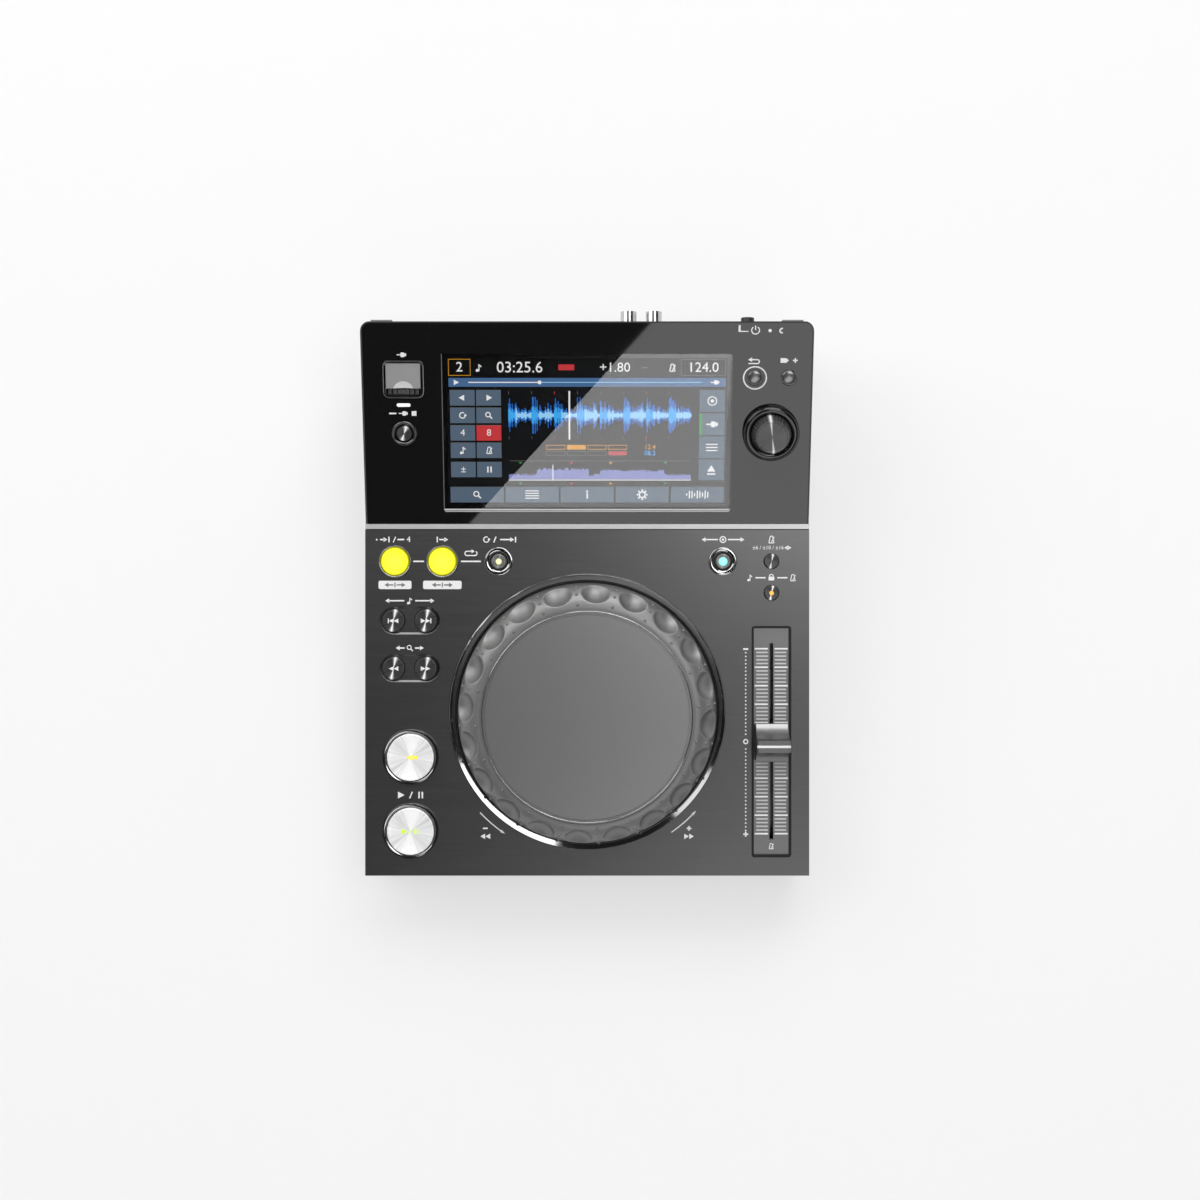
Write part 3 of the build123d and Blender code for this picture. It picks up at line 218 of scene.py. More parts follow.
class Print:
    """Marks on a face: flat shapes, a few hundredths thick."""

    def __init__(self):
        self.bm = bmesh.new()

    def shape(self, points):
        self.bm.faces.new([self.bm.verts.new((x, y, 0)) for x, y in points])

    def bar(self, x, y, width, height):
        self.shape([(x + a * width / 2, y + b * height / 2) for a, b in ((-1, -1), (1, -1), (1, 1), (-1, 1))])

    def line(self, start, end, width):
        start, end = Vector(start), Vector(end)
        side = (end - start).orthogonal().normalized() * width / 2
        self.shape([start - side, end - side, end + side, start + side])

    def slash(self, x, y, width, height, thick):
        """Slanting line across a box."""
        self.line((x - width / 2, y - height / 2), (x + width / 2, y + height / 2), thick)

    def pad(self, x, y, width, height, corner):
        """Bar with rounded corners."""
        corners = [(x + a * (width / 2 - corner), y + b * (height / 2 - corner), turn)
                   for a, b, turn in ((1, 1, 0), (-1, 1, 90), (-1, -1, 180), (1, -1, 270))]
        self.shape([(cx + corner * cos(radians(turn + step)), cy + corner * sin(radians(turn + step)))
                    for cx, cy, turn in corners for step in (0, 22.5, 45, 67.5, 90)])

    def dot(self, x, y, radius, steps=24):
        bmesh.ops.create_circle(self.bm, cap_ends=True, radius=radius, segments=steps,
                                matrix=Matrix.Translation((x, y, 0)))

    def arc(self, x, y, radius, width, start=0, stop=360):
        """Band round a point, from one angle to another."""
        steps = max(6, round((stop - start) / 6))
        turns = [radians(start + (stop - start) * i / steps) for i in range(steps + 1)]
        rails = [[Vector((x + r * cos(t), y + r * sin(t))) for t in turns]
                 for r in (radius - width / 2, radius + width / 2)]
        for i in range(steps):
            self.shape([rails[0][i], rails[1][i], rails[1][i + 1], rails[0][i + 1]])

    def pointer(self, x, y, length, width, turn=0):
        """Triangle that points along its turn."""
        spin = Matrix.Rotation(radians(turn), 2)
        self.shape([Vector((x, y)) + spin @ Vector(p)
                    for p in ((length / 2, 0), (-length / 2, width / 2), (-length / 2, -width / 2))])

    def arrow(self, x, y, length, turn=0):
        """Arrow with a shaft, centred on a point."""
        tip = Matrix.Rotation(radians(turn), 2) @ Vector((1, 0))
        start, neck = Vector((x, y)) - tip * length / 2, Vector((x, y)) + tip * (length / 2 - 1.2)
        self.line(start, neck, 0.7)
        self.pointer(*(neck + tip * 0.4), 2.0, 2.4, turn)

    def note(self, x, y, size):
        self.dot(x - size * 0.25, y - size * 0.38, size * 0.2)
        self.bar(x, y, size * 0.13, size)
        self.line((x - size * 0.04, y + size * 0.45), (x + size * 0.34, y + size * 0.12), size * 0.15)

    def loop(self, x, y, size):
        """Ring with an arrowhead."""
        self.arc(x, y, size * 0.4, size * 0.15, 60, 350)
        self.pointer(x + size * 0.38, y + size * 0.1, size * 0.36, size * 0.44, 100)

    def plug(self, x, y, size):
        self.pad(x, y, size * 0.8, size, size * 0.15)
        self.bar(x + size * 0.6, y, size * 0.36, size * 0.6)
        self.bar(x - size * 0.8, y, size * 0.8, size * 0.22)

    def pause(self, x, y, size):
        for side in (-1, 1):
            self.bar(x + side * size * 0.25, y, size * 0.24, size)

    def lens(self, x, y, size):
        """Magnifying glass."""
        self.arc(x - size * 0.1, y + size * 0.1, size * 0.32, size * 0.14)
        self.line((x + size * 0.16, y - size * 0.16), (x + size * 0.48, y - size * 0.48), size * 0.18)

    def metronome(self, x, y, size):
        for a, b in (((-0.38, -0.5), (-0.16, 0.5)), ((-0.16, 0.5), (0.16, 0.5)), ((0.16, 0.5), (0.38, -0.5)),
                     ((0.38, -0.5), (-0.38, -0.5)), ((0, -0.4), (0.42, 0.42))):
            self.line((x + a[0] * size, y + a[1] * size), (x + b[0] * size, y + b[1] * size), size * 0.13)

    def tag(self, x, y, size):
        self.shape([(x + a * size, y + b * size) for a, b in
                    ((-0.7, 0.42), (-0.7, -0.42), (0.3, -0.42), (0.75, 0), (0.3, 0.42))])

    def figures(self, x, y, text, height):
        """Plain numerals, given by their height. The font's size is its height over a share."""
        height_share = 0.7
        curve = bpy.data.curves.new("figures", "FONT")
        curve.body, curve.size, curve.resolution_u = text, height / height_share, 3
        curve.align_x = curve.align_y = "CENTER"
        holder = bpy.data.objects.new("figures", curve)
        mesh = bpy.data.meshes.new_from_object(holder)
        mesh.transform(Matrix.Translation((x, y, 0)))
        self.bm.from_mesh(mesh)
        for data, store in ((holder, bpy.data.objects), (curve, bpy.data.curves), (mesh, bpy.data.meshes)):
            store.remove(data)

    def raised(self, thickness):
        """The marks as a closed shape that stands on its face."""
        bm, sink = self.bm, 0.01
        bmesh.ops.remove_doubles(bm, verts=bm.verts, dist=1e-4)
        for face in bm.faces:
            if face.normal.z < 0:
                face.normal_flip()
        moved(bm, bmesh.ops.extrude_face_region(bm, geom=bm.faces[:])["geom"], (0, 0, thickness + sink))
        moved(bm, bm.verts, (0, 0, -sink))
        bmesh.ops.recalc_face_normals(bm, faces=bm.faces)
        return bm


def piece(name, bm, material, body, place=Matrix(), stands_for=(), sharp=35):
    """Turns a shape into a piece, in place and smooth up to an angle, that rides on its body."""
    mesh = as_mesh(name, bm, METRES @ place)
    mesh.shade_smooth()
    mesh.set_sharp_from_angle(angle=radians(sharp))
    mesh.materials.append(material)
    new = in_scene(name, mesh)
    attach(new, body)
    if stands_for:
        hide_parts(*stands_for)


def printed(name, ink, material, place=DECK, thickness=0.04, body="chassis"):
    piece(name, ink.raised(thickness), material, body, place)


# Shader nodes
def srgb(red, green, blue):
    """Screen colour from 0 to 255 as the shader's linear colour."""
    return (*(c / 12.92 if c <= 0.04045 else ((c + 0.055) / 1.055) ** 2.4
              for c in (red / 255, green / 255, blue / 255)), 1)


def grey(level):
    return srgb(level, level, level)


def add(tree, kind, inputs=(), **settings):
    """New shader node with its settings. Each input is a value or a socket to link."""
    new = tree.nodes.new("ShaderNode" + kind)
    for key, value in settings.items():
        setattr(new, key, value)
    for key, value in dict(inputs).items():
        if isinstance(value, bpy.types.NodeSocket):
            tree.links.new(value, new.inputs[key])
        else:
            new.inputs[key].default_value = value
    return new


def calc(tree, operation, *values):
    return add(tree, "Math", enumerate(values), operation=operation).outputs[0]


KINDS = {"Vector": "NodeSocketVector", "Scale": "NodeSocketVector", "Color": "NodeSocketColor",
         "Edge": "NodeSocketColor"}
SURFACE = {"Vector": (0, 0, 0), "Scale": (1, 1, 1), "Color": (0.5, 0.5, 0.5, 1), "Contrast": 0.2,
           "Roughness": 0.5, "Spread": 0.1}
RESULTS = ("Color", "Roughness", "Height")


def effect(name, **more):
    """New shader node group with named sockets: its tree, its inputs and its output node."""
    tree = bpy.data.node_groups.new(name, "ShaderNodeTree")
    for label, value in (SURFACE | more).items():
        kind = KINDS.get(label, "NodeSocketFloat")
        tree.interface.new_socket(label, in_out="INPUT", socket_type=kind).default_value = value
    for label in RESULTS:
        tree.interface.new_socket(label, in_out="OUTPUT", socket_type=KINDS.get(label, "NodeSocketFloat"))
    return tree, tree.nodes.new("NodeGroupInput").outputs, tree.nodes.new("NodeGroupOutput")


def close(tree, end, *results):
    for label, socket in zip(RESULTS, results):
        tree.links.new(socket, end.inputs[label])
    return tree


def varied(tree, mask, source):
    """Colour, roughness and height from a mask about one half."""
    swing = calc(tree, "SUBTRACT", mask, 0.5)
    shade = calc(tree, "MULTIPLY_ADD", swing, source["Contrast"], 1.0)
    color = add(tree, "VectorMath", {0: source["Color"], "Scale": shade}, operation="SCALE").outputs[0]
    return color, calc(tree, "MULTIPLY_ADD", swing, source["Spread"], source["Roughness"]), mask


def scaled(tree, source):
    """The vector, stretched by the scale."""
    return add(tree, "VectorMath", {0: source["Vector"], 1: source["Scale"]}, operation="MULTIPLY").outputs[0]


def noise(tree, vector, scale, detail):
    return add(tree, "TexNoise", {"Vector": vector, "Scale": scale, "Detail": detail}).outputs[0]


def lines_group():
    """Brushed or drawn lines: coarse and fine noise, both stretched by the scale."""
    tree, source, end = effect("Brushed lines")
    vector = scaled(tree, source)
    fine, coarse = noise(tree, vector, 1.0, 2.0), noise(tree, vector, 0.4, 1.0)
    total = calc(tree, "MULTIPLY_ADD", coarse, 0.22, calc(tree, "MULTIPLY", fine, 0.78))
    return close(tree, end, *varied(tree, total, source))


def grain_group():
    """Moulded or painted grain: small pits over slow mottling."""
    tree, source, end = effect("Grain")
    vector = scaled(tree, source)
    pits = add(tree, "TexVoronoi", {"Vector": vector, "Scale": 1.0}).outputs[0]
    mottle = noise(tree, vector, 0.06, 3.0)
    total = calc(tree, "MULTIPLY_ADD", pits, 0.55, calc(tree, "MULTIPLY", mottle, 0.6))
    return close(tree, end, *varied(tree, total, source))


def spun_group():
    """Turned metal about the vector's Z: fine rings, and painted highlight sectors that match across the
    middle.

    The painted streak is the one bright sector, a painted highlight at the turn, with the sharpness of its
    power.
    """
    tree, source, end = effect("Spun metal with painted highlights", Sectors=0.3, Streak=1.0, Sharpness=20.0, Turn=1.4)
    flat = add(tree, "VectorMath", {0: source["Vector"], 1: (1, 1, 0)}, operation="MULTIPLY").outputs[0]
    radius = add(tree, "VectorMath", {0: flat}, operation="LENGTH").outputs["Value"]
    parts = add(tree, "SeparateXYZ", {0: flat}).outputs
    turn = calc(tree, "SUBTRACT", calc(tree, "ARCTAN2", parts["Y"], parts["X"]), source["Turn"])
    twice = calc(tree, "MULTIPLY", turn, 2.0)
    reach = add(tree, "SeparateXYZ", {0: source["Scale"]}).outputs["X"]
    rings = add(tree, "TexNoise", {"W": calc(tree, "MULTIPLY", radius, reach), "Scale": 1.0, "Detail": 2.0},
                noise_dimensions="1D").outputs[0]
    # Painted highlights: wedges that match across the middle, and one bright streak at the turn
    around = add(tree, "CombineXYZ", {"X": calc(tree, "COSINE", twice), "Y": calc(tree, "SINE", twice)})
    painted_rays = calc(tree, "SUBTRACT", noise(tree, around.outputs[0], 2.2, 3.0), 0.5)
    facing = calc(tree, "ABSOLUTE", calc(tree, "COSINE", turn))
    streak = calc(tree, "MULTIPLY", calc(tree, "POWER", facing, source["Sharpness"]), source["Streak"])
    sectors = calc(tree, "MULTIPLY_ADD", painted_rays, source["Sectors"], streak)
    total = calc(tree, "ADD", calc(tree, "MULTIPLY_ADD", rings, 0.4, 0.3), sectors)
    return close(tree, end, *varied(tree, total, source))


def glow_group():
    """Lamp behind a lens: bright at the middle of the vector's axes, towards the edge colour at a radius."""
    tree, source, end = effect("Lamp glow", Edge=(0.5, 0.5, 0.5, 1))
    vector = scaled(tree, source)
    reach = add(tree, "VectorMath", {0: vector}, operation="LENGTH").outputs["Value"]
    grain = noise(tree, vector, 9.0, 2.0)
    fall = calc(tree, "MINIMUM", calc(tree, "POWER", reach, 2.0), 1.0)
    uneven = calc(tree, "MULTIPLY_ADD", calc(tree, "SUBTRACT", grain, 0.5), source["Contrast"], fall)
    blend = add(tree, "Mix", {0: uneven, 6: source["Color"], 7: source["Edge"]}, data_type="RGBA")
    rough = calc(tree, "MULTIPLY_ADD", grain, source["Spread"], source["Roughness"])
    return close(tree, end, blend.outputs[2], rough, grain)


LINES, GRAIN, SPUN, GLOW = lines_group(), grain_group(), spun_group(), glow_group()


def finish(name, group, color, scale, contrast, roughness, spread, bump, depth, place=None, extra=(),
           **plain):
    """Material whose colour, roughness and relief come from an effect; the rest is set on the shader.

    The scale is one number, or one for each axis.
    """
    if not isinstance(scale, tuple):
        scale = (scale,) * 3
    material = bpy.data.materials.new(name)
    material.use_nodes = True
    tree = material.node_tree
    shader = tree.nodes["Principled BSDF"]
    vector = add(tree, "TexCoord").outputs["Object"]
    if place:
        inverse = place.inverted()
        vector = add(tree, "Mapping", {"Vector": vector, "Location": inverse.translation * MM,
                                       "Rotation": inverse.to_euler()}).outputs[0]
    made = tree.nodes.new("ShaderNodeGroup")
    made.node_tree = group
    tree.links.new(vector, made.inputs["Vector"])
    values = {"Scale": scale, "Color": color, "Contrast": contrast, "Roughness": roughness, "Spread": spread}
    for label, value in (values | dict(extra)).items():
        made.inputs[label].default_value = value
    relief = add(tree, "Bump", {"Height": made.outputs["Height"], "Strength": bump, "Distance": depth * MM})
    for label, socket in (("Base Color", made.outputs["Color"]), ("Roughness", made.outputs["Roughness"]),
                          ("Normal", relief.outputs[0])):
        tree.links.new(socket, shader.inputs[label])
    for label, value in plain.items():
        shader.inputs[label.replace("_", " ")].default_value = value
    return material


def finishes(group, **usual):
    """Maker of one kind of finish: an effect with its usual values, where no others are given."""
    def make(name, color, **extra):
        return finish(name, group, color, **(usual | extra))
    return make


# Metal brushed across the body, plastic with a fine texture, polished plastic, and chrome or nickel plating
brushed = finishes(LINES, scale=(45, 2600, 2600), contrast=0.5, roughness=0.36, spread=0.25, bump=0.25,
                   depth=0.02, Metallic=1.0)
moulded = finishes(GRAIN, scale=1600, contrast=0.25, roughness=0.5, spread=0.15, bump=0.2, depth=0.03)
gloss = finishes(GRAIN, scale=90, contrast=0.1, roughness=0.05, spread=0.04, bump=0.0, depth=0.01)
plated = finishes(GRAIN, scale=220, contrast=0.1, roughness=0.1, spread=0.06, bump=0.02, depth=0.01,
                  Metallic=1.0)


def spun(name, color, place, sectors=0.8, streak=1.0, sharpness=20.0, turn=80.0, **extra):
    """Turned metal: fine rings, with painted highlights in sectors and a streak that stand for the light the
    rings would catch.
    """
    values = dict(scale=3000, contrast=0.35, roughness=0.3, spread=0.1, bump=0.05, depth=0.01,
                  Metallic=0.6, Anisotropic=0.7)
    pattern = {"Sectors": sectors, "Streak": streak, "Sharpness": sharpness, "Turn": radians(turn)}
    material = finish(name, SPUN, color, place=place, extra=pattern, **(values | extra))
    tree = material.node_tree
    tangent = add(tree, "Tangent", direction_type="RADIAL", axis="Z").outputs[0]
    tree.links.new(tangent, tree.nodes["Principled BSDF"].inputs["Tangent"])
    return material


def shining(material, strength, keep=True):
    """Lets a finish shine in its own colour, with or without a coloured body."""
    tree = material.node_tree
    shader = tree.nodes["Principled BSDF"]
    link = shader.inputs["Base Color"].links[0]
    tree.links.new(link.from_socket, shader.inputs["Emission Color"])
    shader.inputs["Emission Strength"].default_value = strength
    if not keep:
        tree.links.remove(link)
        shader.inputs["Base Color"].default_value = (0, 0, 0, 1)
    return material


def lamp(name, color, edge, radius, place, strength=0.7):
    """Frosted lens with a lamp behind its middle."""
    lens = finish(name, GLOW, color, scale=1 / (radius * MM), contrast=0.15, roughness=0.3, spread=0.1,
                  bump=0.1, depth=0.02, place=place, extra={"Edge": edge})
    return shining(lens, strength)


def pixels(name, color):
    """Lit part of the picture on the screen."""
    glow = moulded(name, color, scale=5500, contrast=0.16, bump=0.0, Specular_IOR_Level=0.0)
    return shining(glow, 1.0, keep=False)


CASE = moulded("case_plastic", grey(30), roughness=0.55)
DECK_METAL = brushed("deck_brushed", grey(102), roughness=0.32, scale=(40, 3000, 3000), contrast=0.3,
                     spread=0.1, bump=0.12)
FASCIA = gloss("fascia_gloss", grey(19), roughness=0.02, spread=0.02)
CHROME = plated("chrome", grey(158))
STRIP = plated("trim_chrome", grey(196), roughness=0.34, Metallic=0.35)
DARK_CHROME = plated("jog_ring_chrome", grey(150), roughness=0.06)
RUBBER = moulded("foot_rubber", grey(26), roughness=0.8)
BUMPER = moulded("bumper_rubber", grey(120), roughness=0.7)
WHITE_INK = moulded("white_ink", grey(236), roughness=0.45, contrast=0.06, bump=0.05)
GREY_INK = moulded("grey_ink", grey(196), roughness=0.4, contrast=0.06, bump=0.05)
SATIN_BLACK = moulded("satin_black", grey(18), roughness=0.4)
# Black that stands for the shadow in the slider's recess: painted shadow
PAINTED_SHADOW_BLACK = moulded("deep_black", grey(7), roughness=0.7, bump=0.05)
GOLD = plated("contact_gold", srgb(226, 180, 92), roughness=0.2)
RIM_PAINT = moulded("rim_paint", grey(126), roughness=0.4, scale=2600, contrast=0.22,
                    Metallic=0.6, bump=0.08)
BUMP_PAINT = moulded("bump_paint", grey(120), roughness=0.3, scale=2600, contrast=0.15,
                     Metallic=0.4, bump=0.05)
SLIDER_METAL = moulded("slider_paint", grey(126), roughness=0.28, scale=2200, contrast=0.05,
                       spread=0.03, Metallic=0.9, bump=0.02)
TRACK_METAL = brushed("track_brushed", grey(124), roughness=0.36, contrast=0.2, bump=0.1)
FLAP = moulded("flap_plastic", grey(146), roughness=0.42, contrast=0.1, bump=0.05)
STEEL = brushed("steel", grey(170), scale=(400, 400, 2500), roughness=0.3, contrast=0.2)
REAR_PAINT = moulded("rear_powder_coat", grey(24), roughness=0.6, scale=1200, contrast=0.3)
BOARD = moulded("circuit_board", srgb(20, 92, 52), roughness=0.35)
BRASS = brushed("brass", srgb(190, 150, 84), roughness=0.3)
NICKEL = plated("nickel", grey(200), roughness=0.18)
GLASS = gloss("screen_glass", grey(250), scale=60, contrast=0.02, roughness=0.0, spread=0.02, IOR=1.5,
              Transmission_Weight=1.0)
PICTURE = gloss("screen_dark", srgb(8, 10, 14), roughness=0.3, Specular_IOR_Level=0.1)
# Painted highlights for the glass's bevelled edges: a bright line at the front, a dimmer one at each side
EDGE_HIGHLIGHT = moulded("glass_edge", grey(205), roughness=0.3, contrast=0.08, bump=0.05)
SIDE_HIGHLIGHT = moulded("glass_side", grey(92), roughness=0.3, contrast=0.08, bump=0.05)
DARK_INK = moulded("dark_ink", grey(120), roughness=0.5, contrast=0.06, bump=0.05)

for material, members in {
    CASE: ["upper_case", "bottom_case", "jog_base"],
    DECK_METAL: ["deck_panel"],
    FASCIA: ["display_fascia", "usb_frame"],
    RUBBER: ["feet"],
    GLASS: ["touch_glass"],
    PICTURE: ["lcd_module"],
    NICKEL: ["phono_jacks"],
    SATIN_BLACK: ["network_jack", "ac_inlet", "tact_switches", "film_switch", "selector_encoder",
                  "selector_rotor"],
    TRACK_METAL: ["fader_plate"],
    SLIDER_METAL: ["fader_knob"],
    STEEL: ["fader_body", "case_screws", "jog_spindle", "fader_lever", "selector_shaft", "usb_socket",
            "usb_b_jack", "encoder_disc"],
    REAR_PAINT: ["rear_panel"],
    BUMPER: ["rear_bumpers"],
    BOARD: ["display_board", "control_boards", "jack_board", "main_board", "power_board", "jog_board"],
    BRASS: ["jog_bush"],
    FLAP: ["usb_flap"],
}.items():
    for name in members:
        for holder in nodes[name].material_slots:
            holder.material = material

# Jog wheel
JOG = at(DECK, middle("jog_plate", DECK))
rim_low, rim_high = extent("jog_wheel", JOG)
plate_low, plate_high = extent("jog_plate", JOG)
ring_high = extent("jog_ring", JOG)[1]
wheel_radius, rim_wall, rim_chamfer = rim_high.x, 4.6, 0.3
shoulder_radius = 11.4
shoulder_centre, shoulder_start = wheel_radius - shoulder_radius, rim_high.z - shoulder_radius
lip_width, lip_thickness = 6, 2.5
dimple_count, dimple_start, dimple_angle = 20, 4.0, 46.0
dimple_radius, dimple_depth, dimple_brim = 10.5, 3.3, 0.5
bump_radius, bump_sink, bump_angles = 0.8, 0.15, (24, 52, 80)
edge_width = 0.8
ring_width, ring_slope, spigot = 3.8, 0.262, 1.9


def on_shoulder(lean, out=0.0):
    """Radius and height of a point on the rim's rounded shoulder, or out from it."""
    reach = shoulder_radius + out
    return shoulder_centre + reach * cos(radians(lean)), shoulder_start + reach * sin(radians(lean))


def jog_rim():
    """Rim with its finger dimples pressed into the shoulder, each with a soft brim."""
    lip = shoulder_centre - lip_width
    outline = [(wheel_radius, rim_low.z + rim_chamfer), (wheel_radius, shoulder_start / 2)]
    outline += [on_shoulder(90 * i / 32) for i in range(33)]
    outline += [(shoulder_centre, plate_low.z), (lip, plate_low.z), (lip, plate_low.z - lip_thickness),
                (shoulder_centre, plate_low.z - lip_thickness)]
    outline += [on_shoulder(lean, -rim_wall) for lean in (80, 60, 40, 20, 0)]
    outline += [(wheel_radius - rim_wall, rim_low.z), (wheel_radius - rim_chamfer, rim_low.z)]
    bm = turned(outline, steps=720, ring=True)
    pitch = 2 * pi / dimple_count
    radius, height = on_shoulder(dimple_angle, dimple_radius - dimple_depth)
    for vert in bm.verts:
        if vert.co.xy.length < shoulder_centre - 1 or vert.co.z < shoulder_start / 2 - 1:
            continue
        turn = atan2(vert.co.x, vert.co.y) - radians(dimple_start)
        near = round(turn / pitch) * pitch + radians(dimple_start)
        centre = Vector((radius * sin(near), radius * cos(near), height))
        away = vert.co - centre
        gap = away.length - dimple_radius
        if gap < dimple_brim:
            pushed = max(away.length, dimple_radius) + max(dimple_brim - abs(gap), 0) ** 2 / (4 * dimple_brim)
            vert.co = centre + away * pushed / away.length
    return bm


def jog_bumps():
    """Grip bumps between each two dimples."""
    parts = []
    for i in range(dimple_count):
        turn = radians(dimple_start + (i + 0.5) * 360 / dimple_count)
        for lean in bump_angles:
            radius, height = on_shoulder(lean, -bump_sink)
            bm = bmesh.new()
            bmesh.ops.create_icosphere(bm, subdivisions=2, radius=bump_radius)
            parts.append((bm, Matrix.Translation((radius * sin(turn), radius * cos(turn), height))))
    return merged(parts)


def jog_top():
    """Spun disc with a groove inside its edge, and a step down to the bead."""
    radius, top = plate_high.x - edge_width, plate_high.z - 0.04
    groove, step = 0.4, 0.5
    return turned([
        (0, top), (radius - 1.35, top), (radius - 1.25, top - groove), (radius - 0.95, top - groove),
        (radius - 0.85, top), (radius - 0.45, top), (radius - 0.35, top - step), (radius, top - step),
        (radius, plate_low.z), (0, plate_low.z),
    ], steps=256)


def disc_edge():
    """Polished bead round the disc."""
    outer, top = plate_high.x, plate_high.z
    bead = edge_width / 2
    arch = [(outer - bead + bead * cos(pi * i / 8), top - bead + bead * sin(pi * i / 8)) for i in range(9)]
    return turned([(outer, plate_low.z)] + arch + [(outer - edge_width, plate_low.z)], steps=256, ring=True)


def jog_surround():
    """Ring round the wheel, sloping down to it."""
    outer, top = ring_high.x, ring_high.z
    inner = outer - ring_width
    slope_foot = top - (ring_width - 1.05) * ring_slope
    return turned([
        (inner, -1.5), (outer - spigot, -1.5), (outer - spigot, 0), (outer, 0.05), (outer, top - 0.7),
        (outer - 0.15, top - 0.25), (outer - 0.45, top), (inner + 0.6, slope_foot), (inner + 0.5, top - 0.95),
        (inner + 0.4, top - 0.82), (inner + 0.2, top - 0.82), (inner + 0.05, top - 0.95), (inner, top - 1.15),
    ], steps=256, ring=True)


# Disc with faint painted highlight sectors and no painted streak
DISC_METAL = spun("jog_disc_spun", grey(150), JOG, scale=900, roughness=0.32, contrast=0.05, spread=0.04,
                  bump=0.04, sectors=0.03, streak=0.0, Anisotropic=0.0, Metallic=0.88)
piece("jog_rim", jog_rim(), RIM_PAINT, "jog_dial", JOG, ["jog_wheel"], sharp=40)
piece("jog_bumps", jog_bumps(), BUMP_PAINT, "jog_dial", JOG)
piece("jog_disc", jog_top(), DISC_METAL, "jog_dial", JOG, ["jog_plate"])
piece("disc_edge", disc_edge(), CHROME, "jog_dial", JOG)
piece("jog_surround", jog_surround(), DARK_CHROME, "chassis", JOG, ["jog_ring"])

# Push buttons
# Spun cap looks: the sectors and the streak are painted highlights, narrow and bright on the dark caps
SPUN_BLACK = dict(color=grey(60), contrast=1.0, sectors=1.8, streak=22.0, sharpness=70.0, turn=78.0,
                  Metallic=0.3)
SPUN_GREY = SPUN_BLACK | dict(color=grey(112), streak=1.0)
SPUN_SILVER = dict(color=grey(238), roughness=0.34, contrast=0.5, sectors=2.0, streak=0.7, sharpness=10.0,
                   turn=86.0, Metallic=0.12)
flange_lip, flange_thickness, stem_radius, seat_share = 1.2, 1.0, 2.2, 0.35


def cap_shape(node, face, dish, dome):
    """Button cap, dished inside a turned edge or domed, down to its flange and stem."""
    low, high = extent(node, face)
    flange = (high.x - low.x) / 2
    radius, top = flange - flange_lip, high.z
    seat = low.z + seat_share * (top - low.z)
    face_line = [(0, top - dish), (radius * 0.45, top - dish * 0.8), (radius - 0.75, top - dish * 0.2),
                 (radius - 0.55, top), (radius - 0.22, top - 0.06), (radius - 0.05, top - 0.22)]
    if dome:
        leans = [pi / 2 * i / 12 for i in range(12)]
        face_line = [(radius * sin(lean), top - dome * (1 - cos(lean))) for lean in leans]
    return turned(face_line + [
        (radius, top - 0.45 - dome), (radius, seat + flange_thickness), (flange, seat + flange_thickness),
        (flange, seat), (stem_radius, seat), (stem_radius, low.z), (0, low.z),
    ], steps=72)


def button(name, face, material, slot="button_black", dish=0.12, dome=0.0):
    node, place = name + "_button", at(face, control(name, face))
    piece(name + "_cap", cap_shape(node, place, dish, dome), material, name, place, [node])


def spun_button(name, looks, face=DECK, **more):
    button(name, face, spun(name + "_spun", place=at(face, control(name, face)), **looks), **more)


for name in ("tempo_range", "master_tempo", "track_back", "track_forward", "search_back", "search_forward"):
    spun_button(name, SPUN_BLACK)
for name in ("cue", "play"):
    spun_button(name, SPUN_SILVER, slot="transport_metal", dish=0.25)
spun_button("usb_stop", SPUN_BLACK | dict(sharpness=24.0, turn=72.0), PANEL)
DOME_GREY = plated("dome_grey", grey(120), roughness=0.22, Metallic=0.8)
for name in ("back", "tag"):
    button(name, PANEL, DOME_GREY, dome=0.75)
button("power", REAR, SATIN_BLACK)
loop_glow_radius, loop_glow = 7.4, 0.42
for name in ("loop_in", "loop_out"):
    yellow = lamp(name + "_yellow", srgb(255, 255, 66), srgb(228, 222, 0), loop_glow_radius,
                  over(name + "_button", DECK), loop_glow)
    button(name, DECK, yellow, "loop_lit")
for name in ("reloop", "vinyl"):
    spun_button(name, SPUN_GREY)

# Lamps in the caps: radius, middle and edge colour
cap_lamps = {
    "reloop": (1.7, srgb(246, 250, 178), srgb(150, 150, 110)),
    "vinyl": (2.6, srgb(150, 255, 246), srgb(96, 140, 140)),
    "master_tempo": (1.25, srgb(255, 190, 90), srgb(206, 130, 40)),
}
lamp_sink = 0.3
for name, (radius, color, edge) in cap_lamps.items():
    place = over(name + "_button", DECK, lamp_sink)
    shape = turned([(0, 0.42), (radius * 0.7, 0.36), (radius * 0.95, 0.22), (radius, 0), (0, -0.1)], steps=32)
    piece(name + "_lamp", shape, lamp(name + "_lamp", color, edge, radius, place), name, place)


# Bezels
def bezel(inner, outer, rise):
    """Rounded chrome ring with its spigot in the plate."""
    mid, spigot_width, foot = (inner + outer) / 2, 0.8, -1.5
    return turned([
        (inner, foot), (inner + spigot_width, foot), (inner + spigot_width, 0), (outer, 0),
        (outer, rise * 0.45), (outer - 0.18, rise * 0.78), (outer - 0.5, rise), (mid, rise),
        (inner + 0.35, rise * 0.86), (inner, rise * 0.55),
    ], steps=128, ring=True)


